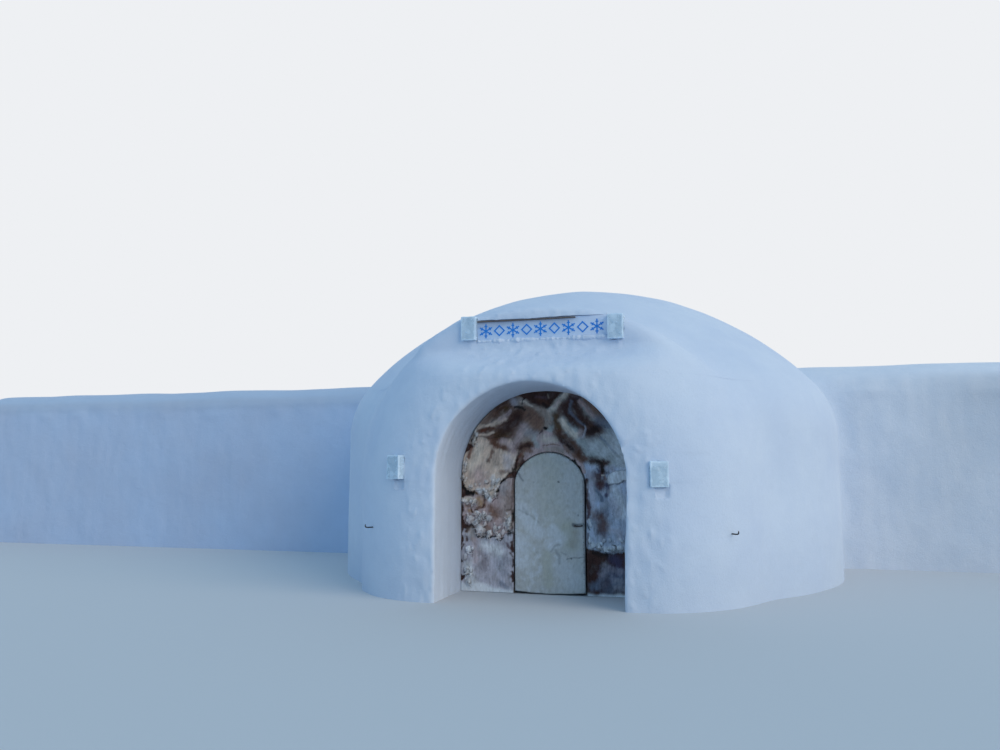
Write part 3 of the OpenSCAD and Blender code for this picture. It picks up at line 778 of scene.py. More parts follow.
# Marks: colour, half width in mm, strength in percent, rise in mm, and X and Z in mm of the line that each follows
hideMarks = readMarks([
    # over the door's left
    ("bark", 75, 95, -2, -780, 2560, -680, 2640, -550, 2700),
    ("dark", 36, 85, -2, -740, 2660, -600, 2770, -460, 2810),
    ("umber", 45, 70, 2, -970, 2410, -880, 2490, -800, 2570),
    ("moss", 30, 70, 0, -600, 2660, -580, 2560),
    ("bark", 125, 100, -6, -700, 2280, -560, 2380, -420, 2540),
    ("bark", 50, 100, -4, -850, 2215, -680, 2230, -500, 2250),
    ("moss", 60, 90, 0, -720, 2260, -580, 2300),
    ("dark", 85, 95, -4, -580, 2400, -460, 2460, -380, 2560, -320, 2600),
    ("dark", 60, 80, -3, -700, 2300, -560, 2350),
    ("warm", 100, 90, 2, -240, 2580, -170, 2460, -130, 2400),
    ("bark", 55, 65, 0, -120, 2570, -110, 2460),
    ("umber", 80, 85, 0, -240, 2520, -140, 2460, -120, 2380),
    ("plum", 12, 90, -4, -860, 2420, -790, 2470),
    ("cream", 26, 95, 6, -1040, 2385, -900, 2385, -780, 2400),
    ("cream", 36, 90, 5, -820, 2400, -710, 2450, -620, 2500),
    ("rose", 30, 70, 3, -700, 2480, -600, 2530, -540, 2600),
    ("bark", 30, 95, -4, -1000, 2310, -930, 2330, -800, 2340),
    ("rust", 14, 80, 0, -980, 2320, -900, 2330),
    ("cream", 16, 90, 6, -1000, 2265, -900, 2260, -790, 2285),
    ("bone", 18, 95, 8, -1080, 2360, -1055, 2270, -1070, 2180, -1100, 2130),
    ("dark", 8, 90, -4, -1045, 2260, -1040, 2180),
    ("black", 12, 100, -8, -1125, 2180, -1110, 2210),
    ("dark", 15, 100, -5, -1150, 2085, -1100, 2090, -1065, 2120),
    ("rust", 28, 80, -2, -1130, 2060, -1150, 2000, -1170, 1940),
    ("umber", 48, 95, -3, -820, 2190, -760, 2120, -660, 2095, -570, 2050),
    ("bark", 30, 85, -3, -780, 2140, -700, 2095, -600, 2065),
    ("bark", 28, 70, -2, -800, 2200, -700, 2180),
    ("umber", 26, 90, -3, -790, 2030, -820, 1950, -870, 1870),
    ("taupe", 60, 60, 0, -720, 1980, -740, 1900),
    ("rose", 48, 80, 4, -640, 2160, -550, 2130, -500, 2050),
    ("rose", 60, 95, 4, -330, 2380, -380, 2280, -430, 2140, -480, 2020),
    ("lilac", 50, 55, 3, -280, 2300, -160, 2260),
    ("bark", 60, 95, -4, -380, 2050, -300, 2100, -220, 2120),
    ("dark", 42, 95, -3, -360, 2060, -270, 2100),
    ("umber", 30, 80, 0, -320, 2040, -220, 2020),
    ("sage", 40, 70, 2, -170, 2190, -130, 2100),
    ("lilac", 48, 85, 6, -480, 2750, -420, 2720),
    ("taupe", 36, 100, 10, -380, 2720, -280, 2720, -200, 2680, -100, 2630),
    ("bone", 16, 70, 4, -380, 2740, -280, 2720, -200, 2670),
    ("black", 8, 90, -4, -370, 2700, -360, 2760, -310, 2785),
    ("black", 18, 90, -4, -460, 2660, -380, 2660, -320, 2620),
    # the dark point between the two arms, the arms and their stem
    ("dark", 60, 100, -2, -180, 2770, -60, 2710, 30, 2690),
    ("bark", 40, 60, 0, -100, 2760, 0, 2730),
    ("black", 30, 70, -3, -30, 2690, 20, 2665),
    ("rust", 24, 25, 0, -40, 2720, 20, 2700),
    ("plum", 24, 80, 2, -160, 2820, -60, 2800, 20, 2780),
    ("taupe", 12, 70, 2, 30, 2840, 50, 2800),
    ("black", 14, 90, 0, -400, 2870, -100, 2910, 220, 2890),
    ("bark", 70, 90, -3, 240, 2680, 190, 2580, 150, 2460, 190, 2340),
    ("moss", 50, 70, 0, 140, 2540, 140, 2420, 180, 2340),
    ("dark", 78, 100, -6, 340, 2740, 290, 2640, 290, 2560, 380, 2470),
    ("dark", 55, 90, -6, 360, 2500, 440, 2420, 520, 2360),
    ("bone", 42, 85, 10, 370, 2880, 270, 2800, 190, 2740, 120, 2660, 50, 2600),
    ("rose", 22, 60, 4, 200, 2740, 130, 2670),
    ("taupe", 52, 95, 6, -40, 2600, 40, 2550, 20, 2460, 10, 2400),
    ("umber", 24, 60, 0, -50, 2480, -50, 2400),
    ("black", 22, 100, -10, -35, 2355, 5, 2345),
    ("plum", 10, 80, -4, -50, 2320, -90, 2270),
    ("plum", 50, 55, 0, 660, 2690, 720, 2640),
    # over the door's right
    ("bark", 85, 80, -2, 430, 2740, 470, 2600, 540, 2490, 640, 2400, 740, 2360),
    ("dark", 66, 100, -6, 420, 2760, 450, 2600, 510, 2500, 590, 2410, 680, 2360),
    ("bark", 105, 70, 0, 620, 2290, 720, 2310),
    ("dark", 80, 100, -6, 620, 2280, 700, 2300, 750, 2330),
    ("black", 50, 60, 0, 640, 2290, 720, 2320),
    ("black", 30, 50, 0, 560, 2420, 660, 2360, 740, 2350),
    ("plum", 85, 95, 0, 420, 2870, 600, 2800, 760, 2670, 900, 2500),
    ("umber", 70, 85, 0, 600, 2740, 700, 2640, 780, 2560),
    ("rose", 30, 80, 3, 490, 2730, 570, 2660, 630, 2590, 700, 2510),
    ("dark", 26, 70, -3, 500, 2840, 620, 2790, 740, 2690, 840, 2580),
    ("slate", 60, 35, 0, 820, 2500, 960, 2300),
    ("umber", 75, 75, 0, 620, 2760, 720, 2650, 800, 2540),
    ("slate", 50, 60, 0, 740, 2460, 880, 2360),
    ("slate", 20, 55, 4, 370, 2740, 350, 2660, 355, 2580, 410, 2500, 470, 2440, 540, 2400),
    ("lilac", 14, 90, 4, 560, 2380, 565, 2290, 540, 2200),
    ("rose", 36, 80, 2, 500, 2300, 480, 2220),
    ("bone", 42, 95, 6, 240, 2460, 280, 2370, 340, 2300, 420, 2220),
    ("slate", 18, 70, -3, 800, 2200, 900, 2090, 1000, 2000),
    ("frost", 90, 40, 2, 660, 2100, 840, 1980),
    ("frost", 100, 60, 2, 1000, 2160, 1080, 2000, 1100, 1860),
    ("bark", 50, 95, 4, 170, 2270, 280, 2220, 390, 2130, 480, 2020),
    ("dark", 46, 100, -6, 180, 2215, 280, 2130, 380, 2040, 460, 1970, 540, 1900),
    ("black", 20, 60, 0, 300, 2110, 380, 2040),
    ("bark", 40, 90, 3, 440, 1990, 520, 1930, 600, 1890),
    ("umber", 26, 80, 3, 260, 2090, 340, 2010, 420, 1930),
    ("bone", 50, 70, 2, -20, 2200, 120, 2180),
    ("umber", 10, 80, -3, -40, 2100, 80, 2120, 190, 2100),
    ("taupe", 30, 70, 0, 0, 2050, 140, 2050, 260, 2000),
    ("black", 24, 100, -8, 370, 1860, 410, 1880, 420, 1840),
    ("black", 14, 100, -8, 460, 1785, 510, 1740),
    ("umber", 30, 70, 0, 460, 1900, 520, 1860),
    # left, beside the door
    ("dark", 30, 95, -6, -400, 1970, -430, 1880, -430, 1800),
    ("rust", 14, 70, 0, -400, 1930, -420, 1860),
    ("umber", 24, 80, 0, -360, 1960, -400, 1860),
    ("moss", 24, 90, 0, -420, 1800, -470, 1745),
    ("umber", 30, 70, 0, -660, 1720, -560, 1730),
    ("dark", 24, 100, -8, -460, 1700, -540, 1680, -580, 1640),
    ("rust", 14, 80, 0, -530, 1680, -570, 1650),
    ("black", 18, 100, -8, -620, 1600, -660, 1580, -675, 1550),
    ("frost", 40, 70, 3, -780, 1620, -740, 1570),
    ("rose", 110, 70, 2, -1040, 1720, -960, 1600),
    ("lilac", 60, 60, 0, -580, 1920, -560, 1800),
    ("bone", 60, 80, 3, -1000, 2080, -1040, 1920, -1140, 1780),
    ("black", 12, 100, -12, -1285, 1950, -1287, 1820, -1285, 1700, -1270, 1600),
    ("lilac", 40, 80, 0, -630, 1560, -580, 1500),
    ("slate", 14, 80, -3, -640, 1490, -590, 1460),
    ("black", 18, 100, -6, -715, 1440, -700, 1470),
    ("plum", 10, 90, -3, -690, 1520, -640, 1440, -600, 1420),
    ("lilac", 40, 80, 0, -660, 1500, -630, 1420),
    ("plum", 45, 55, 0, -560, 1400, -550, 1260),
    ("frost", 38, 100, 6, -990, 1455, -910, 1430, -860, 1360, -840, 1320),
    ("moss", 20, 95, -5, -1080, 1430, -1050, 1420),
    ("bone", 28, 95, 6, -1270, 1325, -1160, 1320, -1080, 1310),
    ("ochre", 50, 100, 2, -1010, 1340, -960, 1260),
    ("umber", 24, 90, -5, -950, 1420, -910, 1320, -935, 1220, -1020, 1190),
    ("dark", 12, 80, -3, -920, 1360, -915, 1280, -950, 1200),
    ("umber", 24, 80, -4, -1210, 1240, -1110, 1240),
    ("ochre", 18, 90, 3, -1160, 1170, -1110, 1160),
    ("dark", 11, 90, -5, -1120, 1190, -1090, 1120),
    ("dark", 9, 80, -5, -1060, 1170, -1010, 1150),
    ("umber", 36, 85, -3, -820, 1190, -780, 1120, -750, 1070),
    ("plum", 9, 90, -4, -800, 1290, -760, 1330, -710, 1340),
    ("dark", 26, 95, -6, -1180, 1420, -1130, 1390),
    ("dark", 16, 95, -5, -580, 1180, -530, 1200, -490, 1180),
    ("black", 12, 95, -5, -500, 1140, -480, 1060),
    ("bone", 38, 85, 4, -550, 1080, -520, 980),
    ("black", 28, 95, -8, -560, 890, -530, 860, -560, 840),
    ("dark", 22, 100, -8, -1190, 940, -1160, 910, -1200, 870),
    ("dark", 18, 90, -6, -1200, 780, -1180, 740),
    ("dark", 12, 90, -6, -1225, 680, -1265, 600),
    ("dark", 12, 100, -6, -1275, 450, -1255, 430),
    ("dark", 18, 100, -6, -1275, 180, -1245, 215),
    ("taupe", 55, 80, 0, -1120, 860, -1100, 800),
    ("black", 10, 90, -4, -1020, 785, -900, 785, -860, 760, -810, 790, -750, 790, -720, 740, -670, 735, -630, 775),
    ("frost", 70, 80, 2, -920, 660, -780, 620, -700, 560),
    ("rose", 50, 50, 0, -1060, 740, -1060, 440),
    ("plum", 70, 14, 0, -980, 550, -900, 360),
    ("plum", 9, 50, -3, -1150, 670, -1120, 610, -1115, 500),
    ("plum", 45, 30, -3, -960, 530, -920, 460, -940, 330),
    ("slate", 50, 30, -3, -740, 480, -620, 470),
    ("slate", 65, 35, -3, -700, 380, -650, 280),
    ("slate", 36, 60, -2, -680, 130, -600, 90),
    ("plum", 9, 60, -3, -1100, 280, -1080, 220),
    ("plum", 24, 80, -4, -580, 700, -540, 640),
    ("dark", 16, 80, -4, -530, 580, -500, 520),
    ("dark", 26, 85, -4, -520, 240, -480, 220),
    ("frost", 60, 80, 4, -1180, 360, -1150, 260, -1100, 140),
    # right, beside the door
    ("dark", 50, 100, -6, 670, 1875, 780, 1850, 860, 1850),
    ("black", 24, 80, -4, 720, 1860, 800, 1840, 815, 1740),
    ("dark", 52, 100, -6, 790, 1830, 815, 1710),
    ("plum", 90, 85, -3, 700, 1640, 770, 1560),
    ("dark", 46, 80, -3, 730, 1650, 770, 1570),
    ("lilac", 34, 80, 0, 880, 1790, 940, 1770),
    ("navy", 18, 70, -3, 710, 1770, 750, 1730),
    ("bone", 10, 70, 5, 800, 1685, 840, 1685),
    ("umber", 14, 70, 0, 850, 1680, 860, 1620),
    ("plum", 60, 95, -3, 730, 1630, 760, 1550),
    ("dark", 30, 50, 0, 740, 1610, 760, 1560),
    ("navy", 30, 100, -4, 880, 1530, 900, 1470, 860, 1400),
    ("navy", 9, 80, -3, 900, 1540, 1000, 1555, 1120, 1600),
    ("slate", 22, 85, -4, 720, 1460, 790, 1380, 800, 1320),
    ("slate", 50, 50, -2, 820, 1340, 880, 1240, 860, 1140),
    ("frost", 75, 85, 3, 980, 1460, 1060, 1300, 1080, 1140),
    ("lilac", 40, 60, 3, 640, 1660, 650, 1400, 650, 1200),
    ("plum", 30, 95, -6, 575, 1600, 585, 1340, 605, 1220, 590, 1080),
    ("umber", 40, 55, 0, 660, 1130, 740, 1100),
    ("plum", 85, 75, 0, 760, 1120, 800, 1000, 790, 920),
    ("bark", 50, 60, -3, 790, 1100, 810, 1000, 790, 940),
    ("lilac", 60, 50, 0, 940, 1300, 1020, 1160),
    ("frost", 18, 80, 6, 610, 1060, 640, 980),
    ("black", 10, 80, -5, 585, 1000, 610, 920),
    ("slate", 6, 90, -3, 790, 890, 860, 890),
    ("plum", 40, 50, 0, 800, 860, 800, 780),
    ("frost", 36, 60, 5, 630, 730, 740, 690, 860, 650, 960, 655, 1050, 680),
    ("lilac", 40, 60, 3, 920, 920, 1040, 900, 1040, 800),
    ("black", 8, 90, -5, 930, 700, 980, 700, 985, 665),
    ("black", 30, 80, -4, 670, 600, 760, 570, 860, 560),
    ("navy", 70, 80, 0, 940, 530, 1000, 500),
    ("navy", 100, 85, 0, 860, 300, 1000, 340),
    ("slate", 110, 75, 2, 860, 160, 1040, 220),
    ("slate", 55, 80, 2, 660, 140, 760, 170),
    ("lilac", 50, 45, 4, 840, 420, 850, 350, 790, 290),
    ("lilac", 40, 35, 4, 940, 380, 1040, 340),
    ("plum", 50, 50, 3, 800, 170, 860, 200),
    ("lilac", 45, 40, 3, 960, 240, 1040, 220),
    ("lilac", 40, 50, 3, 980, 130, 1060, 120),
    ("dark", 14, 80, -4, -495, 1760, -490, 1620, -495, 1500, -487, 1400),
    ("bark", 22, 70, -3, -500, 1440, -495, 1300),
    ("dark", 12, 80, -3, -490, 1050, -495, 900, -490, 740, -495, 600),
    ("dark", 22, 100, -6, -515, 720, -500, 620),
    ("dark", 20, 100, -6, -505, 300, -500, 170),
    ("dark", 18, 100, -6, -500, 1170, -490, 1030),
    ("plum", 20, 90, -4, -510, 1360, -520, 1240),
    ("dark", 14, 90, -4, -500, 480, -495, 380),
    ("rust", 20, 70, 0, -460, 1790, -430, 1880, -380, 1970),
    ("black", 12, 80, -4, -470, 1740, -455, 1820, -420, 1900),
    ("dark", 12, 90, -4, 585, 1620, 580, 1400, 585, 1200),
    ("dark", 12, 70, -4, 590, 860, 585, 700),
    ("taupe", 100, 55, 0, -600, 1520, -580, 1300, -600, 1140),
    ("umber", 40, 70, 0, -870, 940, -840, 860),
    ("umber", 60, 70, 0, -820, 1200, -740, 1120),
    ("black", 22, 100, -16, -1262, 1500, -1200, 1440, -1150, 1415),
    ("black", 24, 100, -16, -1190, 1405, -1110, 1405),
])
# Frozen tufts and curls that stand out: X, Z, half sizes in mm, turn in degrees and rise in mm
hideTufts = [(x / 1000, z / 1000, a / 1000, b / 1000, turn, lift / 1000) for x, z, a, b, turn, lift in (
    (-1145, 1035, 62, 68, 0, 36), (-985, 885, 70, 88, 10, 40), (-845, 840, 40, 50, 0, 22),
    (-700, 795, 34, 50, 0, 28), (-865, 790, 30, 30, 0, 26), (-955, 1080, 60, 44, 20, 20),
    (-855, 1060, 50, 44, -10, 22), (-640, 860, 26, 50, -20, 22), (-545, 1020, 36, 62, -12, 22),
    (-610, 960, 22, 50, 25, 18), (-1060, 985, 50, 26, 20, 22), (-1220, 1305, 52, 26, 5, 26),
    (-1110, 1300, 50, 24, 10, 20), (-890, 1410, 36, 62, 30, 18), (-1030, 1130, 40, 24, -20, 20),
    (-760, 900, 30, 60, 5, 18), (-720, 1600, 40, 26, 40, 16), (-790, 1540, 24, 40, -25, 18),
    (-750, 1470, 18, 36, -20, 18), (-840, 1470, 20, 34, 20, 16), (-1140, 1490, 26, 22, -20, 16),
    (-1050, 2270, 20, 40, 20, 16), (-1090, 2160, 14, 34, 20, 14), (-1210, 500, 26, 50, 0, 14),
    (-1170, 610, 40, 50, 0, 18), (-1190, 300, 40, 60, 0, 18), (-1170, 130, 46, 50, 0, 18),
    (660, 700, 36, 36, 0, 18), (750, 670, 34, 36, 0, 18), (850, 640, 38, 36, 0, 20), (950, 645, 30, 32, 0, 18),
    (1040, 680, 36, 34, 0, 18), (615, 780, 22, 50, 0, 14), (630, 1010, 20, 46, 10, 14),
)]
# Little curls strewn between the tufts: X and Z of two corners, and how many
curlFields = [
    (-1.2, 0.98, -0.9, 1.16, 14), (-1.05, 0.8, -0.5, 1.0, 16), (-0.9, 1.36, -0.66, 1.66, 18),
    (-1.22, 0.1, -1.1, 0.66, 12), (-0.62, 1.0, -0.49, 1.16, 6), (-1.24, 1.22, -1.06, 1.34, 6),
    (-1.2, 1.46, -0.98, 1.56, 7), (0.6, 0.64, 1.08, 0.78, 18), (-1.13, 2.04, -1.02, 2.38, 10),
    (-1.25, 1.58, -1.18, 2.0, 10),
]
strewRng = np.random.default_rng(31)
for left, low, right, high, amount in curlFields:
    for i in range(amount):
        size = strewRng.uniform(0.012, 0.027)
        hideTufts.append((strewRng.uniform(left, right), strewRng.uniform(low, high), size,
                          size * strewRng.uniform(0.9, 1.5), strewRng.uniform(-40, 40), 0.7 * size))
hideWall = {"back": -3.2905, "boardY": -3.2630, "skinT": 0.004, "layerT": 0.007, "rim": 0.012, "cell": 0.0092,
            "doorClear": 0.009, "snowClear": 0.006,
            "low": (-1.29, 0.0), "high": (1.29, 2.93),
            "nodes": ["entrance_left_hides", "entrance_right_hides", "entrance_head_hides"]}


def flat(x, z):
    return np.stack([x, z, 0 * x], axis=1)


def lineDistance(x, z, line):
    near = np.full(len(x), 9.0)
    for (ax, az), (bx, bz) in zip(line[:-1], line[1:]):
        dx, dz = bx - ax, bz - az
        share = np.clip(((x - ax) * dx + (z - az) * dz) / (dx * dx + dz * dz), 0, 1)
        near = np.minimum(near, np.hypot(x - ax - share * dx, z - az - share * dz))
    return near


def outlineDistance(x, z, outline):
    inside = np.zeros(len(x), bool)
    for (ax, az), (bx, bz) in zip(outline, outline[1:] + outline[:1]):
        if az != bz:
            inside ^= ((az > z) != (bz > z)) & (x < ax + (z - az) * (bx - ax) / (bz - az))
    near = lineDistance(x, z, outline + outline[:1])
    return np.where(inside, -near, near)


# Colour, rise, amount of fur, way the hair lies and tufts of the skin at points of the wall
def hideSkin(x, z):
    count = len(x)
    spot = flat(x, z)
    wander = 0.018 * layeredNoise(spot, 0.15, 3, 51), 0.018 * layeredNoise(spot, 0.15, 3, 57)
    px, pz = x + wander[0], z + wander[1]
    tint, rise = np.zeros((count, 4)), np.zeros(count)
    flow, furry, edgeShade = np.zeros((count, 2)), np.ones(count), np.zeros(count)
    for number, pelt in enumerate(pelts):
        ragged = (0.010 + 0.5 * pelt["soft"]) * noise(spot, 0.05, 80 + number)
        ragged += 0.005 * noise(spot, 0.02, 90 + number)
        away = outlineDistance(x + 0.5 * wander[0], z + 0.5 * wander[1], pelt["outline"]) + ragged
        over = smoothStep(pelt["soft"], -pelt["soft"], away)
        rim = np.clip(1 + away / hideWall["rim"], 0, 1)
        rolled = 1 - np.sqrt(1 - rim ** 2)
        lumps = np.clip(0.5 + 0.6 * noise(spot, 0.26, 100 + number), 0, 1)
        puffed = pelt["swell"] * (0.45 * smoothStep(0, -0.16, away) + 0.55 * lumps * smoothStep(0, -0.05, away))
        curled = 0.008 * smoothStep(-0.045, -0.010, away) * np.clip(0.4 + noise(spot, 0.06, 110 + number), 0, 1)
        height = pelt["layer"] * hideWall["layerT"] + puffed + curled - rolled * (0.8 * hideWall["layerT"] + curled)
        rise = rise * (1 - over) + np.maximum(height, rise * (pelt["layer"] == 0)) * over
        tint = painted(tint, over, hideColours[pelt["base"]])
        flow = flow * (1 - over[:, None]) + np.array(pelt["flow"]) / np.hypot(*pelt["flow"]) * over[:, None]
        crisp = pelt["layer"] > 0 and pelt["soft"] < 0.01
        shade = np.where(away > 0, 0.5 * smoothStep(0.010, 0, away), 0.35 * smoothStep(-0.012, 0, away))
        edgeShade = edgeShade * (1 - over) + shade * crisp
    along, across = x * flow[:, 0] + z * flow[:, 1], x * flow[:, 1] - z * flow[:, 0]
    hair = np.stack([along / 7, across, 0 * x], axis=1)
    comb = 0.40 * noise(hair, 0.012, 61) + 0.40 * noise(spot, 0.045, 62) + 0.2 * noise(spot, 0.014, 60)

    def paint(marks):
        for name, width, strength, lift, line in marks:
            reach = 2.6 * width + 0.01
            (left, low), (right, high) = np.min(line, axis=0) - reach, np.max(line, axis=0) + reach
            on = np.flatnonzero((px > left) & (px < right) & (pz > low) & (pz < high))
            if not len(on):
                continue
            away = lineDistance(px[on], pz[on], line) / width
            soft = 0.5 + 0.45 * smoothStep(0.012, 0.05, width)
            share = smoothStep(1 + soft, 1 - soft, away + comb[on] * min(1, 0.03 / width + 0.35)) * strength
            tint[on] = painted(tint[on], share, hideColours[name])
            rise[on] += lift * smoothStep(1.6, 0.3, away)
            # painted shadow in gaps and hollows: no fur, rime or tufts there
            if name == "black":
                furry[on] *= 1 - smoothStep(1.3, 0.7, away)
                bare[on] = np.maximum(bare[on], smoothStep(1.5, 0.8, away))
                tufted[on] *= 1 - smoothStep(1.8, 0.7, away)

    tufted, bare = np.zeros(count), np.zeros(count)
    paint([mark for mark in hideMarks if mark[0] != "black"])
    grain = 0.26 * noise(spot, 0.030, 64) + 0.12 * noise(spot, 0.012, 65)
    for tx, tz, halfX, halfZ, turn, lift in hideTufts:
        c, s = math.cos(math.radians(turn)), math.sin(math.radians(turn))
        dx, dz = x + 0.6 * wander[0] - tx, z + 0.6 * wander[1] - tz
        on = np.flatnonzero(np.hypot(dx, dz) < 1.9 * max(halfX, halfZ))
        if not len(on):
            continue
        dx, dz = dx[on], dz[on]
        away = np.hypot((dx * c + dz * s) / halfX, (dz * c - dx * s) / halfZ) + grain[on]
        dome = np.sqrt(np.clip(1 - np.maximum(away, 0) ** 2, 0, 1))
        down = (dz * c - dx * s) / halfZ
        rise[on] += lift * dome * (1 + grain[on])
        # Frost on the tufts, painted lighter towards their tops as a painted highlight, and a painted shadow in a
        # ring under each
        frostAndHighlight = (0.96 if halfX > 0.028 else 0.6) * smoothStep(0.0, 0.75, dome) * np.clip(0.82 + 0.36 * down, 0, 1)
        white = "frost" if x[on[0]] > 0 or z[on[0]] < 0.7 else "pearl"
        tint[on] = painted(tint[on], frostAndHighlight, hideColours[white])
        ringShadow = np.exp(-((away - 1.14) / 0.17) ** 2) * np.clip(0.6 - 0.5 * down, 0, 1)
        tint[on, :3] *= (1 - (0.75 if lift > 0.015 else 0.5) * ringShadow)[:, None]
        tufted[on] = np.maximum(tufted[on], dome * (1 if lift > 0.017 else 0.3))
    paint([mark for mark in hideMarks if mark[0] == "black"])
    folds = np.stack([along / 4, across, 0 * x], axis=1)
    rise += 0.004 * noise(folds, 0.06, 66) + 0.002 * noise(spot, 0.03, 67)
    tint[:, :3] *= (1 - edgeShade)[:, None]
    streak = 0.17 * noise(hair, 0.011, 63) + 0.16 * noise(hair, 0.03, 65) + 0.20 * layeredNoise(spot, 0.11, 3, 67)
    tint[:, :3] *= np.clip(1 + streak, 0.5, 1.6)[:, None]
    rime = smoothStep(0.1, 0.9, layeredNoise(spot, 0.12, 4, 69)) * (0.20 * smoothStep(2.4, 0.6, z) + 0.05)
    rime *= np.where(x > 0.56, smoothStep(0.5, 0.7, z) * 0.8 + 0.2, 1) * (1 - bare)
    drift = 0.03 + 0.09 * smoothStep(-0.5, -1.0, x) + 0.02 * smoothStep(0.7, 1.2, x) + 0.025 * noise(spot, 0.12, 70)
    for name, share in (("frost", rime), ("snow", smoothStep(0.04, -0.03, z - drift))):
        tint = painted(tint, share, hideColours[name])
    furry *= smoothStep(-0.02, 0.04, z - drift)
    return tint, rise, furry, flow, tufted


def hairMaterial():
    material, tree, shader = newMaterial("hide_fur",
                                         {"Roughness": 0.85, "Specular IOR Level": 0.2, "Sheen Weight": 0.12,
                                          "Sheen Roughness": 0.5})
    coat = attribute(tree, "coat", "Color")
    place = objectPoints(tree, (1, 1, 0.12))
    hair = noiseTexture(tree, place, 210, 3, 0.6)
    clumps = noiseTexture(tree, objectPoints(tree, (1, 1, 0.4)), 46, 4, 0.6)
    shade = ramp(tree, summed(tree, scaled(tree, hair, 0.5), scaled(tree, clumps, 0.5)), 0.36, 0.62)
    tint = mixColours(tree, scaled(tree, shade, 0.75), mixColours(tree, 0.26, coat, (0, 0, 0, 1)),
                      mixColours(tree, 0.02, coat, (0.55, 0.57, 0.62, 1)))
    return tinted(material, tint, summed(tree, hair, scaled(tree, clumps, 2)), 0.004, 0.8)


hideFur = hairMaterial()


# Geometry Nodes: hairs, or curled locks, scattered over a skin and leaning along its flow
def scatterTree(name, material):
    tree, start = newTree(name, {"Skin": None, "Density": 5000.0, "Length": 0.03, "Width": 0.004, "Curl": 0.4,
                                 "Rows": 3, "Columns": 2, "Seed": 4, "Where": "fur"}, "Hair")
    amount = addNode(tree, "GeometryNodeInputNamedAttribute", {"Name": start["Where"]}).outputs["Attribute"]
    density = scaled(tree, start["Density"], amount)
    spots = {"Mesh": start["Skin"], "Density": density, "Seed": start["Seed"]}
    scatter = addNode(tree, "GeometryNodeDistributePointsOnFaces", spots)
    grid = {"Size X": start["Width"], "Size Y": start["Length"], "Vertices X": start["Columns"],
            "Vertices Y": start["Rows"]}
    blade = addNode(tree, "GeometryNodeMeshGrid", grid).outputs["Mesh"]
    at = addNode(tree, "ShaderNodeSeparateXYZ", {0: addNode(tree, "GeometryNodeInputPosition").outputs[0]}).outputs
    share = calc(tree, "ADD", calc(tree, "DIVIDE", at["Y"], start["Length"]), 0.5)
    bent = scaled(tree, scaled(tree, calc(tree, "POWER", share, 2.0), start["Curl"]), start["Length"])
    hollow = scaled(tree, calc(tree, "ABSOLUTE", at["X"], 0.0), -0.9)
    narrow = calc(tree, "SUBTRACT", 1.0, scaled(tree, calc(tree, "POWER", share, 1.6), 0.88))
    shaped = vector(tree, X=scaled(tree, at["X"], narrow), Y=summed(tree, bent, hollow),
                    Z=scaled(tree, share, start["Length"]))
    blade = addNode(tree, "GeometryNodeSetPosition", {"Geometry": blade, "Position": shaped}).outputs[0]
    flow = addNode(tree, "GeometryNodeInputNamedAttribute", {"Name": "flow"}, data_type="FLOAT_VECTOR")
    spread = addNode(tree, "FunctionNodeRandomValue", {0: (-0.35, -0.2, -0.35), 1: (0.35, 0.25, 0.35), "Seed": 11},
                     data_type="FLOAT_VECTOR").outputs[0]
    lean = addNode(tree, "ShaderNodeVectorMath", {0: flow.outputs["Attribute"], 1: spread}, operation="ADD")
    aim = addNode(tree, "FunctionNodeAlignRotationToVector", {"Vector": lean.outputs[0]}, axis="Z",
                  pivot_axis="AUTO").outputs[0]
    roll = addNode(tree, "FunctionNodeRandomValue", {2: -3.1, 3: 3.1, "Seed": 13}, data_type="FLOAT").outputs[1]
    roll = addNode(tree, "FunctionNodeAxisAngleToRotation", {"Angle": roll}).outputs[0]
    turned = addNode(tree, "FunctionNodeRotateRotation", {0: aim, 1: roll}, rotation_space="LOCAL").outputs[0]
    size = addNode(tree, "FunctionNodeRandomValue", {2: 0.55, 3: 1.25, "Seed": 17}, data_type="FLOAT").outputs[1]
    places = {"Points": scatter.outputs["Points"], "Instance": blade, "Rotation": turned, "Scale": size}
    return endTree(tree, addNode(tree, "GeometryNodeInstanceOnPoints", places).outputs[0], material)


def grown(name, skin, tree, settings):
    modifier = skin.modifiers.new("grow", "NODES")
    modifier.node_group = tree
    sockets = {item.name: item.identifier for item in tree.interface.items_tree if item.in_out == "INPUT"}
    for label, value in settings.items():
        modifier[sockets[label]] = value
    skin.update_tag()
    seen = skin.evaluated_get(bpy.context.evaluated_depsgraph_get())
    mesh = bpy.data.meshes.new_from_object(seen)
    skin.modifiers.remove(modifier)
    mesh.name = name
    return newObject(name, mesh)


furLook = {
    "coat": {"Density": 9500.0, "Length": 0.022, "Width": 0.0048, "Curl": 0.35, "Rows": 3, "Columns": 2, "Seed": 4,
             "Where": "head"},
    "lock": {"Density": 950.0, "Length": 0.046, "Width": 0.024, "Curl": 1.1, "Rows": 6, "Columns": 3, "Seed": 9,
             "Where": "locks"},
}
coatTree = scatterTree("coat", hideFur)


# How far a point is inside the ragged gap round the leaf
def doorEdge(x, z):
    spot = flat(x, z)
    ragged = 0.008 * np.clip(noise(spot, 0.09, 73), 0, 1) + 0.004 * np.clip(noise(spot, 0.03, 74), 0, 1)
    wide = 0.009 * smoothStep(0.3, 0.5, x) * smoothStep(1.75, 1.5, z)
    wide = wide + smoothStep(-0.3, -0.45, x) * (0.004 + 0.006 * smoothStep(0.8, 0.5, z))
    for bareX, bareZ, bare in ((0.415, 1.86, 0.012), (0.475, 1.775, 0.012), (-0.485, 1.12, 0.008),
                               (0.56, 1.3, 0.006)):
        wide = wide + bare * np.exp(-((x - bareX) ** 2 + (z - bareZ) ** 2) / 0.04 ** 2)
    return hideWall["doorClear"] - 0.0025 * smoothStep(0.15, -0.05, x) + ragged + wide - doorWay(x, z, 0)


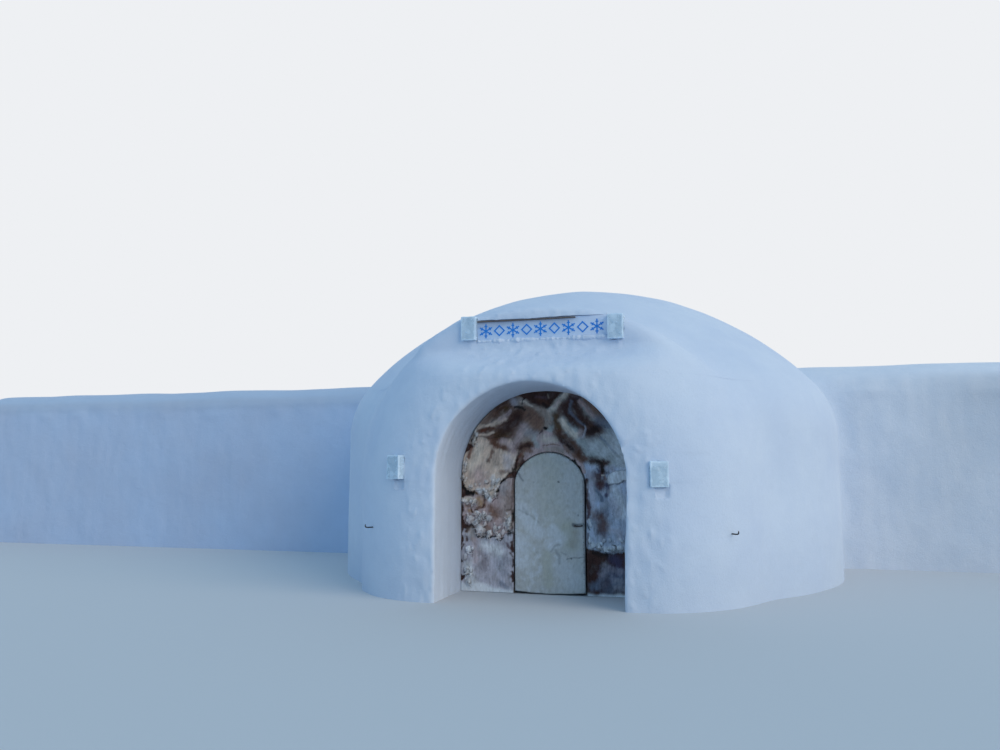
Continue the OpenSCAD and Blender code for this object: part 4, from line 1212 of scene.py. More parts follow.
def hideFront(x, z):
    rise = hideSkin(x, z)[1] + hideWall["skinT"]
    edge = np.minimum(-recessDistance(x, z) - hideWall["snowClear"], -doorEdge(x, z))
    rounded = np.sqrt(1 - np.clip(1 - edge / 0.016, 0, 1) ** 2)
    return hideWall["back"] - np.maximum(rise, 0.0015) * (0.3 + 0.7 * rounded)


def addHides(setup):
    low, high = setup["low"], setup["high"]
    bounds = [lambda x, z: recessDistance(x, z) + setup["snowClear"], doorEdge, lambda x, z: 0.004 - z]
    points, faces, rim = panelSolid(bounds, hideFront, setup["boardY"], low, high, setup["cell"])
    x, z = points[:, 0], points[:, 2]
    tint, rise, furry, flow, tufted = hideSkin(x, z)
    count = len(points) - len(rim)
    # Painted shade: the skin's rim darker, and its side faces in the gaps nearly black
    tint[rim] *= 0.5
    tint[count:] *= 0.12
    furry *= smoothStep(0.0, 0.010,
                        np.minimum(-recessDistance(x, z), 0.02 - doorEdge(x, z)) - 0.02) * smoothStep(0.040, 0.056, z)
    furry[count:], tufted[count:] = 0, 0
    skin = makeMesh("entranceHides", points, faces, 70)
    addAttribute(skin, "coat", tint)
    swirl = points * (1, 0, 1)
    lean = np.stack([flow[:, 0] + 0.5 * noise(swirl, 0.18, 131), -0.22 - 0.5 * tufted,
                     flow[:, 1] + 0.3 * noise(swirl, 0.18, 132)], axis=1)
    layer = skin.data.attributes.new("flow", "FLOAT_VECTOR", "POINT")
    layer.data.foreach_set("vector", np.asarray(lean, np.float32).ravel())
    skin.data.materials.append(hideFur)
    addAttribute(skin, "locks", smoothStep(0.25, 0.7, tufted) * (z < 2.4))
    made = [skin, grown("hideLocks", skin, coatTree, furLook["lock"])]
    for place, here in (("head", z > 1.55), ("left", (z <= 1.55) & (x < 0.04)), ("right", (z <= 1.55) & (x >= 0.04))):
        addAttribute(skin, place, furry * (1 - 0.7 * tufted) * here)
        made.append(grown(place + "Fur", skin, coatTree, {**furLook["coat"], "Where": place}))
    for piece in made:
        placePiece(piece, igloo, "hide_fur", *(setup["nodes"] if piece is skin else ()))
    hairs = [len(piece.data.polygons) for piece in made[1:]]
    stageDone(f"hides: {len(faces)} faces in the skin, {hairs} in the hair")


addHides(hideWall)


# Door leaf: rawhide stretched over planks. Marks are colour, half width, strength, rise and line
# The edge colour is painted shade along the leaf's right edge
doorColours = {"base": (184, 187, 187), "olive": (172, 174, 160), "frost": (206, 214, 224), "dark": (50, 50, 54),
               "smoke": (114, 118, 122), "edge": (92, 94, 98), "tan": (148, 142, 132)}
doorSetup = {"cell": 0.012, "frontY": -3.3125, "plankY": -3.2625, "backY": -3.2325, "foot": 0.038, "sag": 0.027,
             "round": 0.014, "planks": 6,
             "tackEvery": 0.085, "tackR": 0.0045}
doorMarks = readMarks([
    ("olive", 160, 35, 0, 100, 1800, 20, 1450, 100, 1100),
    ("olive", 120, 70, 0, 300, 920, 340, 720),
    ("olive", 70, 60, 0, 0, 550, 20, 150),
    ("olive", 100, 45, 0, -300, 1850, -100, 1920),
    ("frost", 90, 60, 1, -360, 1200, -300, 1020, -120, 860),
    ("frost", 100, 50, 0, -380, 750, -340, 450),
    ("frost", 80, 50, 0, 80, 900, 220, 780, 60, 700),
    ("frost", 120, 40, 0, 200, 400, 360, 200),
    ("smoke", 12, 35, -1, -420, 1180, -240, 1100, -100, 1000),
    ("smoke", 20, 35, -1, -340, 1200, -280, 1120),
    ("smoke", 16, 45, -2, 60, 600, 120, 680, 180, 700),
    ("smoke", 20, 50, -2, 130, 620, 180, 540, 180, 440),
    ("frost", 12, 70, 1, 20, 660, 100, 740, 200, 760),
    ("frost", 14, 70, 1, -420, 780, -400, 660, -340, 600),
    ("frost", 16, 60, 1, -200, 1160, -140, 1060, -160, 980),
    ("tan", 60, 50, 0, 420, 860, 380, 700),
    ("smoke", 10, 50, -1, 200, 600, 280, 560),
    ("smoke", 20, 80, -1, 380, 985, 460, 975, 540, 985),
    ("dark", 22, 70, -1, 390, 975, 430, 965),
    ("dark", 9, 80, -1, 448, 1120, 452, 1110),
    ("dark", 11, 95, -2, 175, 1585, 185, 1580),
    ("smoke", 12, 50, 0, -190, 1580, -185, 1575),
    ("dark", 10, 90, -1, 345, 515, 352, 510),
    ("smoke", 8, 70, -1, 280, 500, 400, 530, 530, 535),
    ("dark", 8, 60, 0, 460, 535, 462, 530),
    ("smoke", 14, 80, -3, -420, 1700, -390, 1660, -350, 1600),
    # painted shade along the leaf's right edge
    ("edge", 22, 50, 0, 540, 1600, 548, 300),
    ("frost", 20, 50, 0, -440, 950, -440, 400),
])


def leafBound(x, z):
    return doorWay(x, z, 0) + 0.0005


def leafFoot(x, z):
    return doorSetup["foot"] - doorSetup["sag"] * np.clip(1 - ((x - 0.04) / 0.5) ** 2, 0, 1) - z


def leafSkin(x, z):
    spot = flat(x, z)
    wander = 0.010 * layeredNoise(spot, 0.12, 3, 141), 0.010 * layeredNoise(spot, 0.12, 3, 144)
    tint = np.tile(colour(*doorColours["base"]), (len(x), 1))
    rise = 0.0016 * noise(spot, 0.35, 147) + 0.0009 * noise(spot, 0.06, 148) + 0.0005 * noise(spot, 0.025, 149)
    frosty = 0.20 + 0.40 * smoothStep(0.45, -0.1, x) * smoothStep(1.5, 1.0, z)
    frosty = smoothStep(0.05, 0.75, layeredNoise(spot, 0.10, 4, 151)) * frosty
    stained = smoothStep(0.15, 0.8, layeredNoise(spot, 0.07, 4, 155)) * 0.35
    cracked = np.abs(noise(spot, 0.11, 158)) + 0.10 * np.abs(noise(spot, 0.03, 159))
    cracked = smoothStep(0.05, 0.0, cracked) * smoothStep(0.1, 0.5, noise(spot, 0.3, 160)) * 0.45
    for name, share in (("tan", stained), ("frost", frosty), ("smoke", cracked)):
        tint = painted(tint, share, doorColours[name])
    speckled = noise(spot, 0.22, 162) + 0.9 * smoothStep(0.2, -0.2, x) * smoothStep(1.4, 1.0, z) - 0.2
    speckled = smoothStep(0.35, 0.8, noise(spot, 0.028, 161)) * smoothStep(0.0, 0.6, speckled) * 0.55
    tint = painted(tint, speckled, doorColours["frost"])
    rise += 0.0010 * frosty - 0.0012 * cracked + 0.0012 * speckled
    for name, width, strength, lift, line in doorMarks:
        away = lineDistance(x + wander[0], z + wander[1], line) / width
        tint = painted(tint, smoothStep(1.6, 0.4, away) * strength, doorColours[name])
        rise += lift * smoothStep(1.6, 0.3, away)
    edge = -np.maximum(leafBound(x, z), leafFoot(x, z))
    # Painted shade: the leaf darker along its edges
    tint[:, :3] *= (1 - 0.40 * smoothStep(0.009, 0.0, edge + 0.004 * noise(spot, 0.03, 150)))[:, None]
    return tint, rise, edge


def leafFront(x, z):
    tint, rise, edge = leafSkin(x, z)
    rolled = doorSetup["round"] * (1 - np.sqrt(1 - np.clip(1 - edge / doorSetup["round"], 0, 1) ** 2))
    return doorSetup["frontY"] - np.clip(rise, -0.004, 0.0025) + rolled


def rawhideMaterial():
    material, tree, shader = newMaterial("door_hide", {"Roughness": 0.62, "Specular IOR Level": 0.35})
    coat = attribute(tree, "coat", "Color")
    place = objectPoints(tree)
    pores = noiseTexture(tree, place, 150, 5, 0.7)
    veins = noiseTexture(tree, objectPoints(tree, (1, 1, 0.45)), 34, 6, 0.65)
    cloud = noiseTexture(tree, place, 7, 4)
    speck = ramp(tree, noiseTexture(tree, place, 60, 3, 0.8), 0.60, 0.74)
    tint = mixColours(tree, scaled(tree, ramp(tree, veins, 0.38, 0.64), 0.24), coat, colour(104, 108, 112))
    tint = mixColours(tree, scaled(tree, ramp(tree, cloud, 0.40, 0.66), 0.20), tint, colour(176, 184, 192))
    tint = mixColours(tree, scaled(tree, speck, 0.35), tint, colour(220, 228, 238))
    height = summed(tree, summed(tree, pores, scaled(tree, veins, 2.2)), scaled(tree, cloud, 2.0))
    return tinted(material, tint, height, 0.0022, 0.9)


def woodMaterial(name, light, dark):
    material, tree, shader = newMaterial(name, {"Roughness": 0.75, "Specular IOR Level": 0.3})
    tone = attribute(tree, "tone")
    shift = vector(tree, Y=scaled(tree, tone, 3.0), Z=scaled(tree, tone, 7.0))
    place = addNode(tree, "ShaderNodeVectorMath", {0: objectPoints(tree, (1, 1, 0.06)), 1: shift},
                    operation="ADD").outputs[0]
    rings = noiseTexture(tree, place, 24, 5, 0.6)
    grain = noiseTexture(tree, place, 210, 4, 0.7)
    share = summed(tree, scaled(tree, ramp(tree, rings, 0.34, 0.66), 0.65),
                   scaled(tree, ramp(tree, grain, 0.35, 0.65), 0.35))
    tint = mixColours(tree, share, colour(*light), colour(*dark))
    tint = mixColours(tree, scaled(tree, tone, 0.35), tint, colour(*dark))
    return tinted(material, tint, summed(tree, grain, scaled(tree, rings, 1.5)), 0.0018, 0.9)


rawhide = rawhideMaterial()
timber = woodMaterial("entrance_timber", (150, 124, 98), (98, 76, 58))


# Upright planks between two lines, each with a little bevel
def plankSolid(left, right, foot, top, frontY, backY):
    xs = np.linspace(left, right, 9)
    tops, feet = [top(x) for x in xs], [foot(x) for x in xs]
    outline = [(x, z) for x, z in zip(xs, feet)] + [(x, z) for x, z in zip(xs[::-1], tops[::-1])]
    count = len(outline)
    points = [(x, frontY, z) for x, z in outline] + [(x, backY, z) for x, z in outline]
    faces = [tuple(range(count)), tuple(range(2 * count - 1, count - 1, -1))]
    faces += [(i, i + count, (i + 1) % count + count, (i + 1) % count) for i in range(count)]
    return np.array(points), faces


def addPlanks(name, edges, foot, top, frontY, backY, material, rng):
    parts = []
    for left, right in zip(edges[:-1], edges[1:]):
        planePoints, planeFaces = plankSolid(left + 0.0015, right - 0.0015, foot, top, frontY, backY)
        parts.append((planePoints, planeFaces, np.full(len(planePoints), rng.uniform())))
    points, faces, (tone,) = joined(parts)
    piece = makeMesh(name, points, faces, 30)
    addAttribute(piece, "tone", tone)
    piece.data.materials.append(material)
    bevel = piece.modifiers.new("edges", "BEVEL")
    bevel.width, bevel.segments, bevel.limit_method, bevel.angle_limit = 0.0012, 2, "ANGLE", math.radians(50)
    return piece


def joined(parts):
    points, faces, values, first = [], [], [], 0
    for partPoints, partFaces, *rest in parts:
        points.append(partPoints)
        faces += [tuple(int(v) + first for v in face) for face in partFaces]
        values.append(rest)
        first += len(partPoints)
    return np.concatenate(points), faces, [np.concatenate(column) for column in zip(*values)]


def addDoor(setup):
    low, high = (-0.475, 0.0), (0.555, 2.005)
    points, faces, rim = panelSolid([leafBound, leafFoot], leafFront, setup["plankY"] - 0.0005, low, high,
                                    setup["cell"])
    tint, rise, edge = leafSkin(points[:, 0], points[:, 2])
    # Painted shade on the leaf's side faces in the gap
    tint[len(points) - len(rim):] *= 0.35
    skin = makeMesh("doorRawhide", points, faces, 60)
    addAttribute(skin, "coat", tint)
    skin.data.materials.append(rawhide)
    edges = np.linspace(-0.468, 0.548, setup["planks"] + 1)
    top = lambda x: archTop(x - 0.04, 0.508, 1.55, 1.997, 1.88)
    planks = addPlanks("doorPlanks", edges, lambda x: setup["foot"] + 0.001, top, setup["plankY"], setup["backY"],
                       timber, np.random.default_rng(5))
    placePiece(skin, door, "door_hide", "door_leaf")
    placePiece(planks, door, "entrance_timber")
    stageDone(f"door leaf: {len(faces)} faces")


def addBoards():
    rng = np.random.default_rng(8)
    edges = [-1.27, -1.14, -1.01, -0.88, -0.75, -0.62, -0.49, -0.36, -0.23, -0.10, 0.04, 0.18, 0.31, 0.44, 0.57,
             0.70, 0.83, 0.96, 1.09, 1.18, 1.27]
    foot = lambda x: max(0.0, archTop(x - 0.04, 0.53, 1.55, 2.02, 1.88))
    top = lambda x: archTop(x, 1.284, 1.62, 2.904, 2.06)
    piece = addPlanks("entranceBoards", edges, foot, top, -3.2615, -3.2030, timber, rng)
    placePiece(piece, igloo, "entrance_timber", "entrance_left_boards", "entrance_right_boards",
               "entrance_head_boards")


addDoor(doorSetup)
addBoards()


# Tubes along a line, with closed ends
def tubeSolid(path, radii, sides):
    path = np.array(path, float)
    radii = np.zeros(len(path)) + radii
    along = np.gradient(path, axis=0)
    along /= np.linalg.norm(along, axis=1)[:, None]
    side = np.cross(along[0], (0.31, 0.17, 0.93))
    turns = np.linspace(0, 2 * math.pi, sides, endpoint=False)
    rings = []
    for spot, radius, way in zip(path, radii, along):
        side = side - way * (side @ way)
        side /= np.linalg.norm(side)
        up = np.cross(way, side)
        rings.append(spot + radius * (np.cos(turns)[:, None] * side + np.sin(turns)[:, None] * up))
    faces = []
    for i in range(len(path) - 1):
        a, b = i * sides, (i + 1) * sides
        faces += [(a + j, a + (j + 1) % sides, b + (j + 1) % sides, b + j) for j in range(sides)]
    faces += [tuple(range(sides - 1, -1, -1)), tuple(range((len(path) - 1) * sides, len(path) * sides))]
    return np.concatenate(rings), faces


def smoothLine(points, steps):
    points = np.array(points, float)
    spots = np.linspace(0, len(points) - 1, steps)
    padded = np.concatenate([2 * points[:1] - points[1:2], points, 2 * points[-1:] - points[-2:-1]])
    line = []
    for spot in spots:
        i = min(int(spot), len(points) - 2)
        t = spot - i
        a, b, c, d = padded[i:i + 4]
        line.append(0.5 * (2 * b + (c - a) * t + (2 * a - 5 * b + 4 * c - d) * t * t + (3 * b - a - 3 * c + d)
                           * t ** 3))
    return np.array(line)


# Blocks of lake ice: chipped edges, frosted where they were sawn
iceSetup = {"cell": 0.013, "inset": 0.0015, "edge": 0.010, "base": (195, 220, 241), "frost": (214, 234, 252)}


def iceMaterial(setup):
    material, tree, shader = newMaterial("clear_ice", {"IOR": 1.31, "Specular IOR Level": 0.5})
    place = objectPoints(tree)
    cloud = noiseTexture(tree, place, 9, 5, 0.6)
    cracks = noiseTexture(tree, objectPoints(tree, (1, 1, 0.35)), 40, 5, 0.75)
    bubbles = ramp(tree, noiseTexture(tree, place, 130, 2, 0.6), 0.62, 0.70)
    cloudy = summed(tree, attribute(tree, "frost"), scaled(tree, ramp(tree, cloud, 0.50, 0.72), 0.5))
    white = calc(tree, "ADD", cloudy, scaled(tree, bubbles, 0.4), use_clamp=True)
    tint = mixColours(tree, white, colour(*setup["base"]), colour(*setup["frost"]))
    for socket, low, high in (("Transmission Weight", 0.22, 0.02), ("Roughness", 0.16, 0.65)):
        tree.links.new(ramp(tree, white, 0, 1, low, high), shader.inputs[socket])
    return tinted(material, tint, summed(tree, scaled(tree, cloud, 2.0), cracks), 0.004, 0.8)


iceMatter = iceMaterial(iceSetup)


def addIce(name, node, low, high, axes):
    low, high = np.array(low) + iceSetup["inset"], np.array(high) - iceSetup["inset"]
    soft = iceSetup["edge"]

    def distance(points):
        q = axes(points)
        block = boxDistance(q, low + soft, high - soft) - soft
        chips = 0.0045 * noise(q, 0.075, 161) + 0.003 * noise(q, 0.03, 162)
        return block + np.maximum(chips, -0.002)

    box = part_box(node)
    points, faces, normals = snowSolid(distance, None, [], tuple(box[0]), tuple(box[1]), iceSetup["cell"])
    points = np.clip(points, np.array(box[0]), np.array(box[1]))
    piece = makeMesh(name, points, faces, 40)
    q = axes(points)
    sides = np.sort(np.minimum(np.abs(q - low), np.abs(high - q)), axis=1)
    frost = smoothStep(0.030, 0.004,
                       sides[:, 1] + 0.010
                       * noise(q, 0.05, 163)) * 0.8 + 0.5 * smoothStep(0.15, 0.7, noise(q, 0.11, 164))
    addAttribute(piece, "frost", np.clip(frost, 0, 1))
    piece.data.materials.append(iceMatter)
    placePiece(piece, igloo, "clear_ice", node)
    stageDone(f"{name}: {len(faces)} faces")


for name, node in (("signLeftIce", "sign_left_ice"), ("signRightIce", "sign_right_ice")):
    addIce(name, node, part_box(node)[0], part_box(node)[1], lambda points: points)
for name, (node, setup) in zip(("leftLantern", "rightLantern"), lanterns.items()):
    w, d, h = sf["lanternSize"]
    addIce(name, node, (-w / 2, -setup["proud"], 0), (w / 2, d - setup["proud"], h),
           lambda points, setup=setup: lanternPoints(points, setup))


# Sign: a frosted panel under a lath, with a plain row of stars and diamonds
signSetup = {"cell": 0.020, "panel": (182, 206, 238), "shade": (172, 198, 233), "litRightEnd": (212, 224, 246),
             "lathShade": (140, 146, 166), "ink": (10, 124, 216), "lathEnd": 0.55,
             "pitch": 0.198, "count": 9, "star": 0.102, "diamond": 0.070, "stroke": 0.0175, "raised": 0.0035,
             "firstX": -0.737, "midZ": 3.705}


def signMaterial(setup):
    material, tree, shader = newMaterial("sign_face", {"Roughness": 0.55, "Specular IOR Level": 0.35})
    place = objectPoints(tree)
    cloud = noiseTexture(tree, objectPoints(tree, (0.5, 1, 1)), 6, 5)
    frost = ramp(tree, noiseTexture(tree, place, 48, 5, 0.75), 0.46, 0.66)
    along, none, high = addNode(tree, "ShaderNodeSeparateXYZ", {0: place}).outputs
    low = ramp(tree, summed(tree, high, scaled(tree, cloud, 0.14)), signLow[2] + 0.16, signLow[2] + 0.05)
    tint = mixColours(tree, ramp(tree, cloud, 0.38, 0.64), colour(*setup["panel"]), colour(*setup["shade"]))
    # Painted light: the panel paler towards its right end
    tint = mixColours(tree, ramp(tree, summed(tree, along, cloud), 0.7, 1.5), tint, colour(*setup["litRightEnd"]))
    # Painted shade under the lath and the snow lip, on the panel's left part
    underLathShade = ramp(tree, summed(tree, high, scaled(tree, cloud, 0.10)), signHigh[2] - 0.08, signHigh[2] + 0.03)
    underLathShade = scaled(tree, underLathShade, ramp(tree, along, 0.62, 0.40))
    tint = mixColours(tree, scaled(tree, underLathShade, 0.75), tint, colour(*setup["lathShade"]))
    tint = mixColours(tree, scaled(tree, frost, 0.25), tint, colour(206, 218, 238))
    tint = mixColours(tree, scaled(tree, low, 0.35), tint, colour(226, 234, 246))
    return tinted(material, tint, summed(tree, frost, cloud), 0.002, 0.7)


def inkMaterial(setup):
    material, tree, shader = newMaterial("signInk", {"Roughness": 0.5, "Specular IOR Level": 0.4})
    frost = ramp(tree, noiseTexture(tree, objectPoints(tree), 70, 4, 0.7), 0.50, 0.72)
    return tinted(material, mixColours(tree, scaled(tree, frost, 0.28), colour(*setup["ink"]), colour(120, 160, 206)))


# Geometry Nodes: every other point of a row carries a six-armed star, the points between carry a diamond
def motifTree(material):
    tree, start = newTree("signMotif", {"Count": 9, "Pitch": 0.2, "Star": 0.1, "Diamond": 0.07, "Stroke": 0.014,
                                        "Raised": 0.004, "First": (0, 0, 0)}, "Motif")

    # each bar that crosses another is a little thicker than it
    def bar(width, more, length, away, turn):
        size = vector(tree, X=width, Y=calc(tree, "ADD", start["Raised"], more), Z=length)
        cube = addNode(tree, "GeometryNodeMeshCube", {"Size": size}).outputs["Mesh"]
        moved = addNode(tree, "GeometryNodeTransform", {"Geometry": cube, "Translation": away}).outputs[0]
        return addNode(tree, "GeometryNodeTransform", {"Geometry": moved, "Rotation": (0, turn, 0)}).outputs[0]

    def together(parts):
        whole = addNode(tree, "GeometryNodeJoinGeometry")
        for part in parts:
            tree.links.new(part, whole.inputs[0])
        return whole.outputs[0]

    arm, barb = scaled(tree, start["Star"], 2.0), scaled(tree, start["Star"], 0.42)
    thin, out = scaled(tree, start["Stroke"], 0.8), vector(tree, Z=scaled(tree, start["Star"], 0.66))
    star = [bar(start["Stroke"], 0.0006 * i, arm, (0, 0, 0), math.pi / 3 * i) for i in range(3)]
    star += [bar(barb, 0.0018, thin, out, math.pi / 3 * i) for i in range(6)]
    side = summed(tree, scaled(tree, start["Diamond"], 1.4128), start["Stroke"])
    out = vector(tree, X=scaled(tree, start["Diamond"], 0.7071))
    diamond = [bar(start["Stroke"], 0.0008 * (i % 2), side, out, math.pi / 4 + math.pi / 2 * i) for i in range(4)]
    line = {"Count": start["Count"], "Start Location": start["First"], "Offset": vector(tree, X=start["Pitch"])}
    row = addNode(tree, "GeometryNodeMeshLine", line).outputs[0]
    odd = calc(tree, "MODULO", addNode(tree, "GeometryNodeInputIndex").outputs[0], 2.0)
    placed = []
    for shape, choice in ((star, calc(tree, "SUBTRACT", 1.0, odd)), (diamond, odd)):
        places = {"Points": row, "Selection": calc(tree, "GREATER_THAN", choice, 0.5), "Instance": together(shape)}
        placed.append(addNode(tree, "GeometryNodeInstanceOnPoints", places).outputs[0])
    return endTree(tree, together(placed), material)


def addSign(setup):
    low, high = signLow, signHigh
    bounds = [lambda x, z: low[0] + 0.001 - x, lambda x, z: x - high[0] + 0.001, lambda x, z: low[2] + 0.001 - z,
              lambda x, z: z - high[2] + 0.001]

    def front(x, z):
        edge = np.minimum(np.minimum(x - low[0], high[0] - x), np.minimum(z - low[2], high[2] - z))
        rounded = 0.003 * (1 - np.sqrt(1 - np.clip(1 - edge / 0.003, 0, 1) ** 2))
        return low[1] + rounded + 0.0008 * noise(flat(x, z), 0.12, 171)

    points, faces, rim = panelSolid(bounds, front, high[1] - 0.0005, (low[0], low[2]), (high[0], high[2]),
                                    setup["cell"])
    panel = makeMesh("signPanel", points, faces)
    panel.data.materials.append(signMaterial(setup))
    blank = newObject("blank", bpy.data.meshes.new("blank"))
    first = (setup["firstX"], low[1] - setup["raised"] / 2 + 0.001, setup["midZ"])
    motif = grown("signMotif", blank, motifTree(inkMaterial(setup)), {
        "Count": setup["count"], "Pitch": setup["pitch"], "Star": setup["star"], "Diamond": setup["diamond"],
        "Stroke": setup["stroke"], "Raised": setup["raised"] + 0.002, "First": first})
    bpy.data.objects.remove(blank)
    xs = np.linspace(low[0] + 0.004, setup["lathEnd"], 40)
    drop = 0.004 * noise(flat(xs, 0 * xs), 0.4, 172)
    section = [(0, 0), (-0.020, 0.001), (-0.021, 0.013), (-0.002, 0.014)]
    points = np.array([(x, low[1] - 0.001 + dy, high[2] - 0.026 + dz + d) for x, d in zip(xs, drop)
                       for dy, dz in section])
    faces = [(4 * i + j, 4 * i + 4 + j, 4 * i + 4 + (j + 1) % 4, 4 * i + (j + 1) % 4) for i in range(len(xs) - 1)
             for j in range(4)]
    faces += [(0, 1, 2, 3), tuple(4 * (len(xs) - 1) + j for j in (3, 2, 1, 0))]
    lath = makeMesh("signLath", points, faces, 30)
    addAttribute(lath, "tone", np.full(len(points), 0.6))
    lath.data.materials.append(lathWood)

    def crust(p):
        spot = flat(p[:, 0], 0 * p[:, 0])
        size = 0.020 + 0.024 * np.clip(noise(spot, 0.16, 173) + 0.35, 0, 1.2) + 0.010 * noise(spot, 0.05, 174)
        within = np.maximum(np.maximum(low[0] + 0.02 - p[:, 0], p[:, 0] - high[0] + 0.02), 0)
        away = np.sqrt((p[:, 1] - low[1] + 0.010) ** 2 * 0.7 + (p[:, 2] - low[2] - 0.002) ** 2 + within ** 2)
        return away - size + 0.004 * noise(p, 0.03, 175)

    points, faces, normals = snowSolid(crust, None, [], (low[0], low[1] - 0.07, low[2] - 0.05),
                                       (high[0], low[1] + 0.03, low[2] + 0.06), 0.009)
    drift = makeMesh("signDrift", points, faces)
    addAttribute(drift, "scrapeAndLight", np.zeros(len(points)))
    addAttribute(drift, "seamAndShade", np.zeros(len(points)))
    drift.data.materials.append(snowMaterials["dome_snow"])
    placePiece(panel, igloo, "sign_face", "sign_board")
    for piece, slot in ((motif, "sign_face"), (lath, "entrance_timber"), (drift, "dome_snow")):
        placePiece(piece, igloo, slot)
    stageDone(f"sign: {len(motif.data.polygons)} faces in the motif, {len(drift.data.polygons)} in the drift")


lathWood = woodMaterial("weatheredLath", (124, 110, 104), (84, 72, 68))
addSign(signSetup)


# Iron: pegs, straps and pins, and the rivets that hold the straps
def ironMaterial():
    material, tree, shader = newMaterial("dark_iron", {"Metallic": 0.75, "Specular IOR Level": 0.5})
    place = objectPoints(tree)
    scale = noiseTexture(tree, place, 60, 5, 0.65)
    rust = ramp(tree, noiseTexture(tree, place, 22, 5, 0.7), 0.54, 0.70)
    tint = mixColours(tree, ramp(tree, scale, 0.35, 0.65), colour(38, 40, 44), colour(66, 68, 72))
    tint = mixColours(tree, scaled(tree, rust, 0.6), tint, colour(96, 62, 44))
    tree.links.new(ramp(tree, scale, 0, 1, 0.38, 0.68), shader.inputs["Roughness"])
    return tinted(material, tint, scale, 0.0012, 0.8)


iron = ironMaterial()
for node in ("door_hinge_straps", "hinge_pins"):
    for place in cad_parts[node].material_slots:
        place.material = iron

pegSetup = {"z": 0.94, "turns": {"left": 43, "right": 50}, "sides": 14, "steps": 40,
            "line": [(0, 0.219, 0), (0, 0.1, 0), (0, 0.0, 0.001), (0, -0.060, 0.0), (0, -0.092, 0.006),
                     (0, -0.101, 0.022), (0, -0.0995, 0.044)]}


def addPeg(hand, setup):
    side, turn = -1 if hand == "left" else 1, setup["turns"][hand]
    c, s = math.cos(math.radians(side * turn)), math.sin(math.radians(side * turn))
    x, y, z = smoothLine(setup["line"], setup["steps"]).T
    line = np.stack([x * c - y * s, x * s + y * c, z], axis=1) + cornerPlace(side, turn, setup["z"])
    radii = np.interp(np.linspace(0, 1, setup["steps"]), [0, 0.1, 0.75, 1], [0.005, 0.009, 0.009, 0.0055])
    points, faces = tubeSolid(line, radii, setup["sides"])
    peg = makeMesh(hand + "Peg", points, faces, 40)
    peg.data.materials.append(iron)
    placePiece(peg, igloo, "dark_iron", hand + "_rope_peg")


for hand in pegSetup["turns"]:
    addPeg(hand, pegSetup)


# Geometry Nodes: round heads on the corners of a line of points, each facing one way
def headTree(name, material):
    tree, start = newTree(name, {"Points": None, "Radius": 0.006, "Height": 0.003, "Turn": 1.5708}, "Heads")
    ball = addNode(tree, "GeometryNodeMeshUVSphere", {"Segments": 10, "Rings": 6, "Radius": start["Radius"]})
    squat = vector(tree, X=1.0, Y=1.0, Z=calc(tree, "DIVIDE", start["Height"], start["Radius"]))
    ball = addNode(tree, "GeometryNodeTransform", {"Geometry": ball.outputs["Mesh"], "Scale": squat}).outputs[0]
    places = {"Points": start["Points"], "Instance": ball, "Rotation": vector(tree, X=start["Turn"])}
    return endTree(tree, addNode(tree, "GeometryNodeInstanceOnPoints", places).outputs[0], material)


def addHeads(name, spots, tree, settings, body, slot):
    mesh = bpy.data.meshes.new(name + "Spots")
    mesh.from_pydata([tuple(spot) for spot in spots], [], [])
    spotPiece = newObject(name + "Spots", mesh)
    piece = grown(name, spotPiece, tree, settings)
    bpy.data.objects.remove(spotPiece)
    piece.data.shade_smooth()
    placePiece(piece, body, slot)


ironHeads = headTree("ironHeads", iron)
strapRivets = [(x, -3.2265, z + 0.025) for z in (0.35, 1.35) for x in (-0.41, -0.30, -0.19, -0.08)]
addHeads("strapRivets", strapRivets, ironHeads, {"Radius": 0.009, "Height": 0.004}, door, "dark_iron")
tacks = [(x, 0.06 + doorSetup["tackEvery"] * i) for x in (-0.451, 0.531) for i in range(18)]
for i in range(1, 15):
    turn = math.pi * i / 15
    reach = ((abs(math.cos(turn)) / 0.492) ** 1.88 + (math.sin(turn) / 0.432) ** 1.88) ** (-1 / 1.88)
    tacks.append((0.04 + reach * math.cos(turn), 1.55 + reach * math.sin(turn)))
tackX, tackZ = np.array(tacks).T
tackY = leafFront(tackX, tackZ) + 0.0005
addHeads("leafTacks", list(zip(tackX, tackY, tackZ)), ironHeads, {"Radius": doorSetup["tackR"], "Height": 0.002},
         door, "dark_iron")


# Pull: a bar wrapped in dark leather between two knots
def leatherMaterial():
    material, tree, shader = newMaterial("pull_cord", {"Roughness": 0.55, "Specular IOR Level": 0.4})
    place = objectPoints(tree)
    crease = noiseTexture(tree, place, 320, 5, 0.7)
    frost = ramp(tree, noiseTexture(tree, place, 90, 4, 0.7), 0.56, 0.70)
    tint = mixColours(tree, ramp(tree, crease, 0.36, 0.62), colour(40, 36, 38), colour(70, 62, 60))
    tint = mixColours(tree, scaled(tree, frost, 0.45), tint, colour(150, 156, 164))
    return tinted(material, tint, crease, 0.001, 0.9)


pullSetup = {"left": 0.41, "right": 0.51, "z": 0.97, "leafY": -3.3125, "reach": 0.045, "barR": 0.0085,
             "bossR": 0.0125, "sag": 0.008, "wraps": 17}


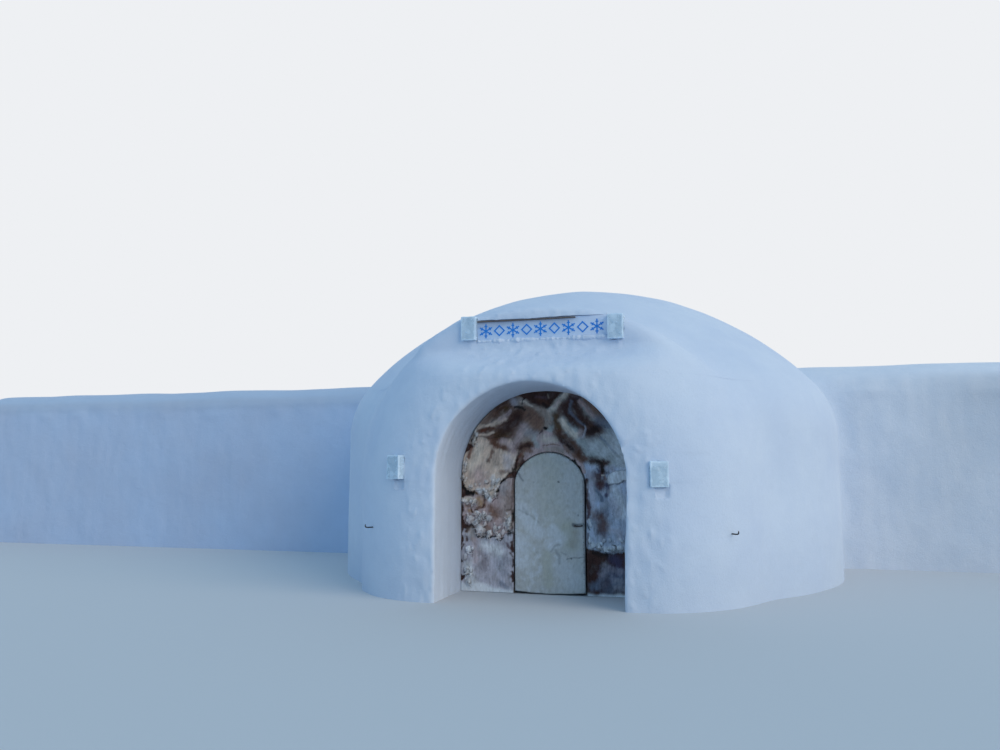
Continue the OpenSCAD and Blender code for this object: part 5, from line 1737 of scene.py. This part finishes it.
def addPull(setup):
    parts = []
    barY = setup["leafY"] - setup["reach"] + setup["bossR"]
    for x in (setup["left"], setup["right"]):
        depth = np.linspace(0.001, -(setup["reach"] - 0.0005), 18)
        share = np.linspace(0, 1, 18)
        radii = setup["bossR"] * np.interp(share, [0, 0.12, 0.3, 0.6, 0.85, 0.97, 1],
                                           [1.0, 0.95, 0.66, 0.72, 1.0, 0.78, 0.35])
        parts.append(tubeSolid([(x, setup["leafY"] + y, setup["z"]) for y in depth], radii, 18))
    share = np.linspace(0, 1, 86)
    xs = setup["left"] + (setup["right"] - setup["left"]) * share
    zs = setup["z"] - setup["sag"] * (1 - (2 * share - 1) ** 2)
    radii = setup["barR"] * (0.90 + 0.10 * np.abs(np.sin(math.pi * setup["wraps"] * share)) ** 0.6)
    parts.append(tubeSolid(np.stack([xs, np.full(len(xs), barY), zs], axis=1), radii, 18))
    points, faces, none = joined(parts)
    piece = makeMesh("doorPull", points, faces, 60)
    piece.data.materials.append(leatherMaterial())
    placePiece(piece, door, "pull_cord", "door_pull")


addPull(pullSetup)
stageDone("fittings")


# Floor, backdrop and light
studio = {"floor": (206, 208, 212), "backdrop": (238, 240, 243), "skyLight": (0.435, 0.72, 1.0), "skyStrength": 0.70,
          "sunLight": (1.0, 0.85, 0.65), "sunStrength": 1.46, "sunTurn": (66, 0, 63), "sunSoftness": 50}


def addStudio(setup):
    bpy.ops.mesh.primitive_circle_add(vertices=96, radius=220, fill_type="NGON")
    floor = bpy.context.object
    floor.name = "paleFloor"
    material, tree, shader = newMaterial("paleFloor", {"Roughness": 0.9, "Specular IOR Level": 0.1})
    shader.inputs["Base Color"].default_value = colour(*setup["floor"])
    floor.data.materials.append(material)
    world = bpy.data.worlds.new("studioWorld")
    scene.world = world
    world.use_nodes = True
    tree = world.node_tree
    light = tree.nodes["Background"]
    light.inputs["Color"].default_value = (*setup["skyLight"], 1)
    light.inputs["Strength"].default_value = setup["skyStrength"]
    seen = addNode(tree, "ShaderNodeBackground", {"Color": colour(*setup["backdrop"])})
    path = addNode(tree, "ShaderNodeLightPath").outputs
    share = calc(tree, "MAXIMUM", path["Is Camera Ray"], path["Is Glossy Ray"])
    share = calc(tree, "MAXIMUM", share, path["Is Transmission Ray"])
    mix = addNode(tree, "ShaderNodeMixShader", {0: share, 1: light.outputs[0], 2: seen.outputs[0]})
    tree.links.new(mix.outputs[0], tree.nodes["World Output"].inputs["Surface"])
    lamp = bpy.data.lights.new("softSun", "SUN")
    lamp.energy = setup["sunStrength"]
    lamp.color = setup["sunLight"]
    lamp.angle = math.radians(setup["sunSoftness"])
    newObject("softSun", lamp).rotation_euler = [math.radians(v) for v in setup["sunTurn"]]


addStudio(studio)
scene.view_settings.view_transform = "Standard"

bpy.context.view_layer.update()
stageDone("scene ready")
